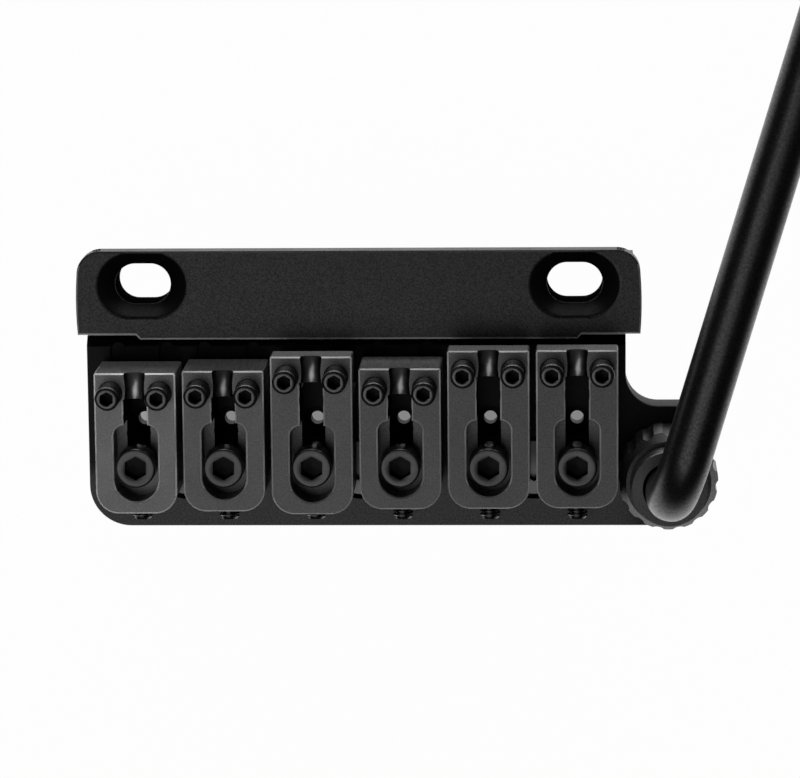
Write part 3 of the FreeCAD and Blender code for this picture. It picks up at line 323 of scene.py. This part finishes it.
ring_steel = ground_steel("bearing_ring_steel", smooth=0.20, rough=0.34)
ball_steel = ground_steel("bearing_ball_steel", smooth=0.08, rough=0.16)
for node, steel in (("bearing_outer_rings", ring_steel), ("bearing_inner_rings", ring_steel),
                    ("bearing_balls", ball_steel)):
    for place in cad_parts[node].material_slots:
        place.material = steel

# Pivot shaft: a ground steel pin that the bearings carry and the base plate clamps.
# Two headless set screws bite on it from below.
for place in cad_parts["pivot_shaft"].material_slots:
    place.material = ground_steel("pivot_shaft_steel", smooth=0.18, rough=0.28)
coat_machined("shaft_set_screws", "rocker", "screw_black", [small_screw_steel])

# Base plate: the rocking plate under the saddles, with grooves for the screw tips, string holes
# and an ear for the arm. Milled steel under the same satin black, dull on the walls that face the front
# plate. Its gloss stays only on the strip behind the saddles and fades away toward the front and over
# the ear, a painted shade for the shadow that the saddles, wheel and arm cast there.
base_top = 0.0052
base_chamfer = 0.00012
base_grain = 4600.0
base_black = (0.0024, 0.0024, 0.0026, 1.0)
base_worn = (0.030, 0.030, 0.031, 1.0)
# Painted shade: the gloss fades to this share toward the front and over the ear.
base_shaded_gloss = 0.05
gloss_shade_ends = (("Y", -0.0250, -0.0215), ("X", 0.0310, 0.0360))
base_coat = coat_material("base_satin_black", base_black, base_worn, grain=base_grain, grain_tone=0.12,
                          smooth=0.36, rough=0.46, bump=0.18, specular=0.10, gloss=(0.4, 1.0))
base_tree = base_coat.node_tree
base_shader = base_tree.nodes["Principled BSDF"]
base_shader.inputs["Coat IOR"].default_value = 1.6
place = base_tree.nodes.new("ShaderNodeTexCoord")
axes = base_tree.nodes.new("ShaderNodeSeparateXYZ")
base_tree.links.new(place.outputs["Object"], axes.inputs["Vector"])
gloss = base_tree.nodes["Group"].outputs["Gloss"]
for axis, shiny, dull in gloss_shade_ends:
    gloss_shade = spread(base_tree, axes.outputs[axis], shiny, dull, 1.0, base_shaded_gloss, eased=True)
    gloss = reckon(base_tree, "MULTIPLY", gloss, gloss_shade)
base_tree.links.new(gloss, base_shader.inputs["Coat Weight"])
base_wall_coat = coat_material("base_front_wall", base_black, base_worn, grain=base_grain,
                               grain_tone=0.12, smooth=0.40, rough=0.50, bump=0.18, specular=0.05,
                               gloss=(0.0, 0.1))
coat_machined("base_plate", "rocker", "plate_coat", [base_coat, base_wall_coat], ease=0.0,
              rubbed=lambda normal, spot: is_chamfer(normal) and spot.z > base_top - base_chamfer,
              choose=lambda normal, spot: 1 if normal.y > 0.2 and is_wall(normal) else 0)

# Sustain block: the heavy block under the base plate that the springs hook into.
# Cast and milled steel, black; three cap screws go down through the base plate into it.
block_black = coat_material("sustain_block_black", (0.006, 0.006, 0.0065, 1.0), (0.05, 0.05, 0.05, 1.0),
                            grain=1900.0, grain_tone=0.22, smooth=0.42, rough=0.58, bump=0.30)
coat_machined("sustain_block", "rocker", "plate_coat", [block_black])
coat_machined("block_screws", "rocker", "screw_black", [small_screw_steel])

# Saddles: six milled blocks, one under each string, with a stepped slot for the hold-down screw and
# a channel over the nose that the string keeps polished. Fine-blasted steel in a greyer black. Each
# saddle's tone and gloss are scaled by a painted light level of its own, highest for the first, on the
# −X side, for the light that falls from that side. The chamfers are bare, partly from wear and partly
# as a painted highlight; the long ones have a lighter front, a painted highlight, and the slot walls
# are darker and without gloss, a painted shade.
saddle_top = 0.0148
saddle_chamfer = 0.00021
saddle_ease = 0.00005
saddle_grey = (0.022, 0.022, 0.023)
# Lighter tone for the chamfers round the top: partly edge wear, partly a painted highlight.
saddle_wear_and_highlight = (0.55, 0.55, 0.55)
# Painted light: each saddle's tone and gloss are scaled by its own level, highest for the first, on the −X
# side, for the light falling from that side.
saddle_painted_light = (2.28, 1.52, 1.37, 1.31, 1.25, 1.19)
saddle_gloss = 0.55
saddle_grain = 5600.0
cutter_marks = (1.0, 1.0, 0.07)
# Painted highlight: the long saddles' front faces take this lighter grey for the light they catch.
long_front_painted_light = 0.15
front_worn = (0.30, 0.30, 0.30, 1.0)
string_pitch = 0.0105
middle_string = 3.5
saddle_rears = (-0.0263, -0.02605, -0.0264, -0.0258, -0.02575, -0.0257)
short_saddle, long_saddle = 0.0170, 0.01905
saddle_lengths = (short_saddle, short_saddle, long_saddle, short_saddle, long_saddle, long_saddle)
saddle_slot_half = 0.00140
channel_crest_gap = 0.00185
channel_ring = 0.00625
channel_tube = 0.00145
channel_centre_z = 0.00945
channel_black = (0.012, 0.012, 0.012, 1.0)
channel_bare = (0.34, 0.34, 0.35, 1.0)
polished_half = 0.00040
polished_end = 0.00110
wall_play = 0.00008
tube_play = 0.00004
front_gap = 0.001


def channel_material(name, string_x):
    """Black coat at the sides of the channel, bare polished steel where the string runs."""
    material = coat_material(name, channel_black, channel_bare, grain=2600.0, grain_tone=0.03,
                             smooth=0.34, rough=0.42, bump=0.06, stretch=(3.0, 0.4, 1.0),
                             gloss=(0.0, 0.0), metal=1.0)
    tree = material.node_tree
    place = tree.nodes.new("ShaderNodeTexCoord")
    axes = tree.nodes.new("ShaderNodeSeparateXYZ")
    tree.links.new(place.outputs["Object"], axes.inputs["Vector"])
    aside = reckon(tree, "ABSOLUTE", reckon(tree, "SUBTRACT", axes.outputs["X"], string_x))
    polished = spread(tree, aside, polished_half, polished_end, 1.0, 0.0, eased=True)
    tree.links.new(polished, tree.nodes["Group"].inputs["Rub"])
    return material


# Painted shade: the slot's walls are darker and have no gloss, for the shade inside the slot.
saddle_slot_shade = coat_material("saddle_slot_wall", (0.010, 0.010, 0.010, 1.0),
                                 (0.040, 0.040, 0.040, 1.0), grain=saddle_grain, grain_tone=0.20,
                                 smooth=0.60, rough=0.75, bump=0.20, stretch=cutter_marks, specular=0.0,
                                 gloss=(0.0, 0.0))


def saddle_part(normal, spot, string_x, crest_y):
    """0 for the blasted coat, 1 for the polished string channel, 2 for the slot's walls, darker and without
    gloss as a painted shade, 3 for the front face, lighter on the long saddles as a painted highlight."""
    aside = spot.x - string_x
    around = math.hypot(spot.y - crest_y, spot.z - channel_centre_z) - channel_ring
    if abs(normal.x) > 0.9 and abs(abs(aside) - saddle_slot_half) < wall_play:
        return 2
    if normal.y > 0.9 and spot.y > crest_y + front_gap:
        return 3
    on_tube = spot.z > channel_centre_z and abs(math.hypot(around, aside) - channel_tube) < tube_play
    return 1 if on_tube and abs(aside) < saddle_slot_half else 0


def saddle_rub_and_highlight(normal, spot):
    """How much the chamfers round the top take the lighter tone, partly wear and partly a painted
    highlight: the front one, which the lamp already lights, less than the rest.
    """
    on_chamfer = is_chamfer(normal) and spot.z > saddle_top - saddle_chamfer
    return 0.0 if not on_chamfer else 0.5 if normal.y > 0.3 else 1.0


for number, (rear, length) in enumerate(zip(saddle_rears, saddle_lengths), start=1):
    string_x = string_pitch * (number - middle_string)
    crest_y = rear + length - channel_crest_gap
    # Painted light: this saddle's level scales its tone, worn tone, gloss and short front.
    shade = saddle_painted_light[number - 1]
    grey = [part * shade for part in saddle_grey] + [1.0]
    worn = [part * shade for part in saddle_wear_and_highlight] + [1.0]
    saddle_coat = coat_material("saddle_%d_blasted_grey" % number, grey, worn, grain=saddle_grain,
                                grain_tone=0.071, smooth=0.36, rough=0.46, bump=0.60,
                                stretch=cutter_marks, specular=saddle_gloss * shade)
    channel_steel = channel_material("saddle_%d_channel" % number, string_x)
    # Painted highlight on the long saddles' fronts; the short ones take the scaled grey.
    front = long_front_painted_light if length == long_saddle else saddle_grey[0] * shade
    front_coat = coat_material("saddle_%d_front" % number, (front, front, front, 1.0), front_worn,
                               grain=saddle_grain, grain_tone=0.12, smooth=0.38, rough=0.48, bump=0.36,
                               stretch=cutter_marks, specular=0.5)
    coat_machined("saddle_%d" % number, "saddle_%d" % number, "saddle_coat",
                  [saddle_coat, channel_steel, saddle_slot_shade, front_coat], ease=saddle_ease,
                  rubbed=saddle_rub_and_highlight,
                  choose=lambda normal, spot: saddle_part(normal, spot, string_x, crest_y))

# Height screws: two headless socket screws in each saddle that stand on the base plate.
# Blackened steel with a fine rolled thread, a hex socket in the top and a narrow turned tip.
height_radius = 0.00145
height_pitch = 0.0005
height_thread_depth = 0.00027
height_top = 0.0185
height_bevel = 0.0003
height_dome = 0.00050
height_tip_top = 0.0055
height_body_low = 0.00615
height_tip_radius = 0.0008
height_tip_low = 0.0046
height_hex = 0.0015
height_hex_depth = 0.0020
height_hex_lead = 0.00005
height_tip_bevel = 0.0002
height_half_spacing = 0.00295
height_front_gap = 0.00245
crown_steps = 5
hex_lead_slope = 0.25
drill_edge, drill_point, drill_drop = 0.44, 0.14, 0.07
height_steel = coat_material("height_screw_black", (0.070, 0.070, 0.073, 1.0), screw_worn, grain=7000.0,
                             grain_tone=0.20, smooth=0.22, rough=0.32, bump=0.10, gloss=(0.0, 0.0),
                             metal=1.0)
socket_oxide = coat_material("screw_socket_oxide", (0.008, 0.008, 0.0085, 1.0),
                             (0.025, 0.025, 0.025, 1.0), grain=5200.0, grain_tone=0.25, smooth=0.36,
                             rough=0.50, bump=0.20, gloss=(0.0, 0.0), metal=1.0)


def lead_rim(bm, rim, place, finish=0):
    """Extrudes a rim to a new one. Each point keeps its bearing from the axis, and place gives its
    distance from the axis and its level there. The faces between take the material finish."""
    grown = bmesh.ops.extrude_edge_only(bm, edges=rim)["geom"]
    for part in grown:
        if isinstance(part, bmesh.types.BMFace):
            part.material_index = finish
    fresh = dict.fromkeys(part for part in grown if isinstance(part, bmesh.types.BMVert))
    for vert in fresh:
        bearing = math.atan2(vert.co.y, vert.co.x)
        radius, level = place(bearing)
        vert.co = (radius * math.cos(bearing), radius * math.sin(bearing), level)
    return [part for part in grown if isinstance(part, bmesh.types.BMEdge)
            and all(vert in fresh for vert in part.verts)]


def lead_ring(bm, rim, radius, level, finish=0):
    """Extrudes a rim to a plain circle."""
    return lead_rim(bm, rim, lambda bearing: (radius, level), finish)


def round_over(bm, rim, radius, level, inset, drop):
    """Carries a rim up and inward over a rounded edge and returns the edge of the flat on top."""
    for step in range(crown_steps + 1):
        angle = math.radians(90 / crown_steps * step)
        across = radius - inset * (1 - math.cos(angle))
        rim = lead_ring(bm, rim, across, level - drop * (1 - math.sin(angle)))
    return rim


def wind_thread(bm, radius, depth, pitch, low, high, steps=60):
    """A rolled thread: one tooth wound up the rod, cut flat at both ends. Returns the two rims."""
    start = low - pitch * 1.5
    root = radius - depth
    outline = [(radius, 0.0), (radius, 0.14), (root, 0.5), (root, 0.62), (radius, 1.0)]
    verts = [bm.verts.new((across, 0.0, start + share * pitch)) for across, share in outline]
    edges = [bm.edges.new(pair) for pair in zip(verts, verts[1:])]
    turns = math.ceil((high - low) / pitch) + 3
    bmesh.ops.spin(bm, geom=verts + edges, cent=(0, 0, 0), axis=(0, 0, 1), dvec=(0, 0, pitch / steps),
                   angle=math.tau * turns, steps=steps * turns, use_merge=False)
    bmesh.ops.remove_doubles(bm, verts=bm.verts, dist=1e-6)
    for level, way in ((low, -1), (high, 1)):
        cut = bmesh.ops.bisect_plane(bm, geom=bm.verts[:] + bm.edges[:] + bm.faces[:], dist=1e-8,
                                     plane_co=(0, 0, level), plane_no=(0, 0, way), clear_outer=True)
    high_rim = [part for part in cut["geom_cut"] if isinstance(part, bmesh.types.BMEdge)]
    low_rim = [edge for edge in bm.edges if edge.is_boundary
               and all(abs(vert.co.z - low) < 1e-7 for vert in edge.verts)]
    return low_rim, high_rim


def sink_hex(bm, rim, level, flats, depth, lead):
    """A hex socket under a shallow countersink, with the drill's hollow left in its floor. One corner
    points along +Y."""
    mouth = flats / math.sqrt(3) + lead

    def side(bearing):
        return flats / 2 / math.cos((bearing + math.pi / 6) % (math.pi / 3) - math.pi / 6)

    rim = lead_ring(bm, rim, mouth, level)
    rim = lead_rim(bm, rim, lambda bearing: (
        side(bearing), level - (mouth - side(bearing)) * hex_lead_slope))
    rim = lead_rim(bm, rim, lambda bearing: (side(bearing), level - depth), finish=1)
    rim = lead_ring(bm, rim, flats * drill_edge, level - depth, finish=1)
    rim = lead_ring(bm, rim, flats * drill_point, level - depth - flats * drill_drop, finish=1)
    bmesh.ops.contextual_create(bm, geom=rim, mat_nr=1)


def close_end(bm, rim):
    """Closes the flat end of a screw."""
    bmesh.ops.contextual_create(bm, geom=rim)


def screw_object(name, bm, spots, materials, turned=None):
    """Copies one finished screw to its places and makes a single object of them."""
    bmesh.ops.remove_doubles(bm, verts=bm.verts, dist=1e-7)
    bmesh.ops.recalc_face_normals(bm, faces=bm.faces)
    if turned is not None:
        bmesh.ops.transform(bm, matrix=turned, verts=bm.verts)
    first_verts = bm.verts[:]
    master = first_verts + bm.edges[:] + bm.faces[:]
    for spot in spots[1:]:
        copy = bmesh.ops.duplicate(bm, geom=master)["geom"]
        bmesh.ops.translate(bm, verts=[part for part in copy if isinstance(part, bmesh.types.BMVert)],
                            vec=spot)
    bmesh.ops.translate(bm, verts=first_verts, vec=spots[0])
    for face in bm.faces:
        face.smooth = True
    for edge in bm.edges:
        edge.smooth = edge.calc_face_angle(0.0) < math.radians(30)
    mesh = bpy.data.meshes.new(name)
    bm.to_mesh(mesh)
    bm.free()
    for material in materials:
        mesh.materials.append(material)
    return bpy.data.objects.new(name, mesh)


height_screw = bmesh.new()
low_rim, high_rim = wind_thread(height_screw, height_radius, height_thread_depth, height_pitch,
                                height_body_low, height_top - height_bevel)
top_rim = round_over(height_screw, high_rim, height_radius, height_top, height_dome, height_bevel)
sink_hex(height_screw, top_rim, height_top, height_hex, height_hex_depth, height_hex_lead)
tip_rim = lead_ring(height_screw, low_rim, height_tip_radius, height_tip_top)
tip_rim = lead_ring(height_screw, tip_rim, height_tip_radius, height_tip_low + height_tip_bevel)
tip_rim = lead_ring(height_screw, tip_rim, height_tip_radius - height_tip_bevel, height_tip_low)
close_end(height_screw, tip_rim)
for number, (rear, length) in enumerate(zip(saddle_rears, saddle_lengths), start=1):
    x = string_pitch * (number - middle_string)
    y = rear + length - height_front_gap
    spots = [(x - height_half_spacing, y, 0.0), (x + height_half_spacing, y, 0.0)]
    screws = screw_object("height_screws_%d_threaded" % number, height_screw.copy(), spots,
                          [height_steel, socket_oxide])
    fit(screws, "height_screws_%d" % number, "screw_black", "height_screws_%d" % number)

# Hold-down screws: one cap screw through each saddle's slot into the base plate.
# Blackened steel, straight-knurled head with a plain crown, hex socket and threaded shank.
hold_y = -0.02065
hold_head_radius = 0.002425
hold_head_low = 0.0126
hold_head_top = 0.0156
hold_head_bevel = 0.00028
hold_crown_radius = hold_head_radius * 0.985
hold_crown_low = hold_head_low + 0.0023
hold_knurl_top = hold_head_low + 0.0021
hold_knurl_depth = 0.03
hold_knurl_ridges = 30
hold_shank_radius = 0.0013
hold_shank_low = 0.0012
hold_shank_bevel = 0.0003
hold_thread_depth = 0.00026
hold_pitch = 0.0005
hold_hex = 0.0025
hold_hex_depth = 0.0016
hold_hex_lead = 0.00012
hold_steel = coat_material("hold_down_black", (0.060, 0.060, 0.062, 1.0), screw_worn, grain=6000.0,
                           grain_tone=0.20, smooth=0.28, rough=0.38, bump=0.14, gloss=(0.0, 0.0),
                           metal=1.0)
hold_screw = bmesh.new()
low_rim, neck_rim = wind_thread(hold_screw, hold_shank_radius, hold_thread_depth, hold_pitch,
                                hold_shank_low, hold_head_low)
close_end(hold_screw, lead_ring(hold_screw, low_rim, hold_shank_radius - hold_shank_bevel, hold_shank_low))


def ridged(bearing):
    """The head's radius at a bearing, on a ridge of the straight knurl or between two."""
    ridge = abs(bearing * hold_knurl_ridges / math.tau % 1 * 2 - 1)
    return hold_head_radius * (1 - hold_knurl_depth * ridge)


rim = lead_rim(hold_screw, neck_rim, lambda bearing: (ridged(bearing), hold_head_low))
rim = lead_rim(hold_screw, rim, lambda bearing: (ridged(bearing), hold_knurl_top))
rim = lead_ring(hold_screw, rim, hold_crown_radius, hold_crown_low)
rim = round_over(hold_screw, rim, hold_crown_radius, hold_head_top, hold_head_bevel, hold_head_bevel)
sink_hex(hold_screw, rim, hold_head_top, hold_hex, hold_hex_depth, hold_hex_lead)
spots = [(string_pitch * (number - middle_string), hold_y, 0.0) for number in range(1, 7)]
hold_screws = screw_object("hold_down_screws_knurled", hold_screw, spots, [hold_steel, socket_oxide])
fit(hold_screws, "rocker", "screw_black", "hold_down_screws")

# Intonation screws: one headless screw through the back of each saddle, bearing on the hold-down
# screw. Blackened steel, threaded, with the hex socket at the rear.
intonation_radius = 0.00125
intonation_length = 0.0062
intonation_bevel = 0.0003
intonation_end_radius = intonation_radius - intonation_bevel
intonation_thread_depth = 0.00024
intonation_pitch = 0.00045
intonation_hex = 0.0013
intonation_hex_depth = 0.0015
intonation_hex_lead = 0.00006
intonation_front_y = -0.0220
intonation_z = 0.0082
toward_rear = Matrix.Rotation(math.radians(90), 4, "X")
length_screw = bmesh.new()
low_rim, high_rim = wind_thread(length_screw, intonation_radius, intonation_thread_depth, intonation_pitch,
                                intonation_bevel, intonation_length - intonation_bevel)
close_end(length_screw, lead_ring(length_screw, low_rim, intonation_end_radius, 0.0))
rear_rim = lead_ring(length_screw, high_rim, intonation_end_radius, intonation_length)
sink_hex(length_screw, rear_rim, intonation_length, intonation_hex, intonation_hex_depth,
         intonation_hex_lead)
for number in range(1, 7):
    spots = [(string_pitch * (number - middle_string), intonation_front_y, intonation_z)]
    screw = screw_object("intonation_screw_%d_threaded" % number, length_screw.copy(), spots,
                         [height_steel, socket_oxide], toward_rear)
    fit(screw, "intonation_screw_%d" % number, "screw_black", "intonation_screw_%d" % number)

# Arm socket: a turned sleeve screwed into the ear, lined with a nylon bush that grips the arm.
# Blackened steel with the lathe's fine rings left on its top face.
socket_x = 0.0371
socket_y = -0.02275
socket_black = (0.006, 0.006, 0.0062, 1.0)
socket_worn = (0.050, 0.050, 0.050, 1.0)
lathe_rings = 1100.0


def turned_material(name, tone, worn, smooth, rough, specular):
    """A coat over lathe rings centred on the arm's axis."""
    material = coat_material(name, tone, worn, grain=5200.0, grain_tone=0.14, smooth=smooth,
                             rough=rough, bump=0.14, specular=specular)
    nodes, links = material.node_tree.nodes, material.node_tree.links
    place = nodes.new("ShaderNodeTexCoord")
    centred = nodes.new("ShaderNodeMapping")
    centred.inputs["Location"].default_value = (-socket_x, -socket_y, 0.0)
    links.new(place.outputs["Object"], centred.inputs["Vector"])
    rings = nodes.new("ShaderNodeTexWave")
    rings.wave_type = "RINGS"
    rings.rings_direction = "Z"
    rings.inputs["Scale"].default_value = lathe_rings
    rings.inputs["Distortion"].default_value = 0.4
    links.new(centred.outputs["Vector"], rings.inputs["Vector"])
    lathe = nodes.new("ShaderNodeBump")
    lathe.inputs["Strength"].default_value = 0.12
    lathe.inputs["Distance"].default_value = grain_depth
    links.new(rings.outputs["Fac"], lathe.inputs["Height"])
    links.new(nodes["Bump"].outputs["Normal"], lathe.inputs["Normal"])
    links.new(lathe.outputs["Normal"], nodes["Principled BSDF"].inputs["Normal"])
    return material


socket_coat = turned_material("arm_socket_turned_black", socket_black, socket_worn, smooth=0.36,
                              rough=0.48, specular=0.55)
coat_machined("arm_socket", "rocker", "arm_coat", [socket_coat])
nylon = coat_material("friction_bush_nylon", (0.030, 0.030, 0.028, 1.0), (0.060, 0.058, 0.052, 1.0),
                      grain=2400.0, grain_tone=0.25, smooth=0.42, rough=0.58, bump=0.12)
coat_machined("friction_bush", "rocker", "nylon", [nylon])

# Thumb wheel: a fluted collar that turns on the sleeve and sets how freely the arm swings.
# Turned and milled from bar, black, with the lathe's rings left on its coned top.
wheel_coat = turned_material("thumb_wheel_black", (0.004, 0.004, 0.0042, 1.0),
                             (0.040, 0.040, 0.040, 1.0), smooth=0.36, rough=0.48, specular=0.30)
coat_machined("thumb_wheel", "thumb_wheel", "arm_coat", [wheel_coat])

# Arm: one round steel rod, bent once above the socket and rounded at its far end.
# Smooth satin black, a little glossier than the plates from the player's hand.
arm_coat = coat_material("arm_satin_black", (0.0024, 0.0024, 0.0026, 1.0), (0.030, 0.030, 0.030, 1.0),
                         grain=3600.0, grain_tone=0.12, smooth=0.30, rough=0.38, bump=0.10,
                         specular=0.34)
coat_machined("tremolo_arm", "tremolo_arm", "arm_coat", [arm_coat], crease=40.0)

# Stage: a white floor just under the sustain block, with a painted shadow beneath the bridge, a dim
# room, a wide soft panel overhead toward the rear, a low lamp from the neck's side, and the camera above,
# which leans a little toward the neck.
floor_level = -0.0240
floor_half = 4.0
floor_white = 0.98
mirrored_near, mirrored_far = 0.10, 0.30
# Painted shadow: the floor's white is darkened in a soft capsule under the bridge, not cast by the lamps.
shade_middle = (-0.0015, -0.0219, 0.0)
shade_half_length = 0.0275
shade_fade = (140.0, 85.0, 0.0)
shade_core = 0.15
shade_depth = 0.12
bm = bmesh.new()
bmesh.ops.create_grid(bm, x_segments=1, y_segments=1, size=floor_half,
                      matrix=Matrix.Translation((0.0, 0.0, floor_level)))
floor_mesh = bpy.data.meshes.new("floor")
bm.to_mesh(floor_mesh)
bm.free()
floor = bpy.data.objects.new("floor", floor_mesh)
bpy.context.scene.collection.objects.link(floor)
paper = bpy.data.materials.new("floor_paper")
paper.use_nodes = True
nodes, links = paper.node_tree.nodes, paper.node_tree.links
matte = nodes["Principled BSDF"]
matte.inputs["Base Color"].default_value = (0.90, 0.90, 0.90, 1.0)
matte.inputs["Roughness"].default_value = 0.9
matte.inputs["Specular IOR Level"].default_value = 0.0
white = nodes.new("ShaderNodeEmission")
white.inputs["Strength"].default_value = 1.0
path = nodes.new("ShaderNodeLightPath")
spot = nodes.new("ShaderNodeTexCoord")
distance = nodes.new("ShaderNodeVectorMath")
distance.operation = "LENGTH"
links.new(spot.outputs["Object"], distance.inputs[0])
near = spread(paper.node_tree, distance.outputs["Value"], mirrored_near, mirrored_far, 1.0, 0.0)
mirrored = reckon(paper.node_tree, "MULTIPLY", path.outputs["Is Glossy Ray"], near)
seen = reckon(paper.node_tree, "MAXIMUM", path.outputs["Is Camera Ray"], mirrored)
seen = reckon(paper.node_tree, "MAXIMUM", seen, path.outputs["Is Transmission Ray"])
last = spot.outputs["Object"]
for step, amount in (("SUBTRACT", shade_middle), ("ABSOLUTE", None),
                     ("SUBTRACT", (shade_half_length, 0.0, 0.0)), ("MAXIMUM", (0.0, 0.0, 0.0)),
                     ("MULTIPLY", shade_fade)):
    under = nodes.new("ShaderNodeVectorMath")
    under.operation = step
    links.new(last, under.inputs[0])
    if amount:
        under.inputs[1].default_value = amount
    last = under.outputs["Vector"]
reach = nodes.new("ShaderNodeVectorMath")
reach.operation = "LENGTH"
links.new(last, reach.inputs[0])
painted_floor_shadow = spread(paper.node_tree, reach.outputs["Value"], shade_core, 1.0, shade_depth, floor_white,
                eased=True)
blend = nodes.new("ShaderNodeMixShader")
links.new(reckon(paper.node_tree, "MULTIPLY", seen, painted_floor_shadow), blend.inputs[0])
links.new(matte.outputs["BSDF"], blend.inputs[1])
links.new(white.outputs["Emission"], blend.inputs[2])
links.new(blend.outputs["Shader"], nodes["Material Output"].inputs["Surface"])
floor_mesh.materials.append(paper)

room_low, room_high = 0.02, 0.03
room = bpy.data.worlds.new("soft_room")
bpy.context.scene.world = room
room.use_nodes = True
nodes, links = room.node_tree.nodes, room.node_tree.links
way = nodes.new("ShaderNodeTexCoord")
parts = nodes.new("ShaderNodeSeparateXYZ")
links.new(way.outputs["Generated"], parts.inputs["Vector"])
glow = spread(room.node_tree, parts.outputs["Z"], 0.0, 1.0, room_low, room_high)
links.new(glow, nodes["Background"].inputs["Color"])
nodes["Background"].inputs["Strength"].default_value = 1.0
bridge_middle = Vector((0.0, -0.01, 0.0))


def soft_lamp(name, size_x, size_y, energy, spot):
    """A wide soft lamp that faces the middle of the bridge."""
    light = bpy.data.lights.new(name, "AREA")
    light.shape = "RECTANGLE"
    light.size, light.size_y, light.energy = size_x, size_y, energy
    lamp = bpy.data.objects.new(name, light)
    bpy.context.scene.collection.objects.link(lamp)
    lamp.location = spot
    lamp.rotation_mode = "QUATERNION"
    lamp.rotation_quaternion = (bridge_middle - Vector(spot)).to_track_quat("-Z", "Y")


soft_lamp("overhead_panel", size_x=0.95, size_y=0.60, energy=2.15, spot=(-0.22, -0.29, 1.0))
soft_lamp("neck_side_lamp", size_x=0.70, size_y=0.18, energy=2.1, spot=(0.0, 0.58, 0.14))

look_from = Vector((0.0427, 0.177, 0.0))
look_from.z = math.sqrt(1.0 - look_from.length_squared)
look_at = Vector((0.00466, -0.0139, 0.0))
eye_distance = 0.5
sensor_width = 36.0
lens_per_width = 4097.0 / 800.0
lean = -0.002
across = (Vector((1.0, 0.0, 0.0)) - look_from * look_from.x).normalized()
upward = look_from.cross(across)
across, upward = (across * math.cos(lean) + upward * math.sin(lean),
                  upward * math.cos(lean) - across * math.sin(lean))
eye = look_at + look_from * eye_distance
lens = bpy.data.cameras.new("bench_camera")
lens.sensor_fit = "HORIZONTAL"
lens.sensor_width = sensor_width
lens.lens = lens_per_width * sensor_width
lens.clip_start = 0.01
lens.clip_end = 20.0
camera = bpy.data.objects.new("bench_camera", lens)
bpy.context.scene.collection.objects.link(camera)
camera.matrix_world = Matrix((
    (across.x, upward.x, look_from.x, eye.x),
    (across.y, upward.y, look_from.y, eye.y),
    (across.z, upward.z, look_from.z, eye.z),
    (0.0, 0.0, 0.0, 1.0)))
bpy.context.scene.camera = camera
bpy.context.scene.view_settings.view_transform = "Standard"
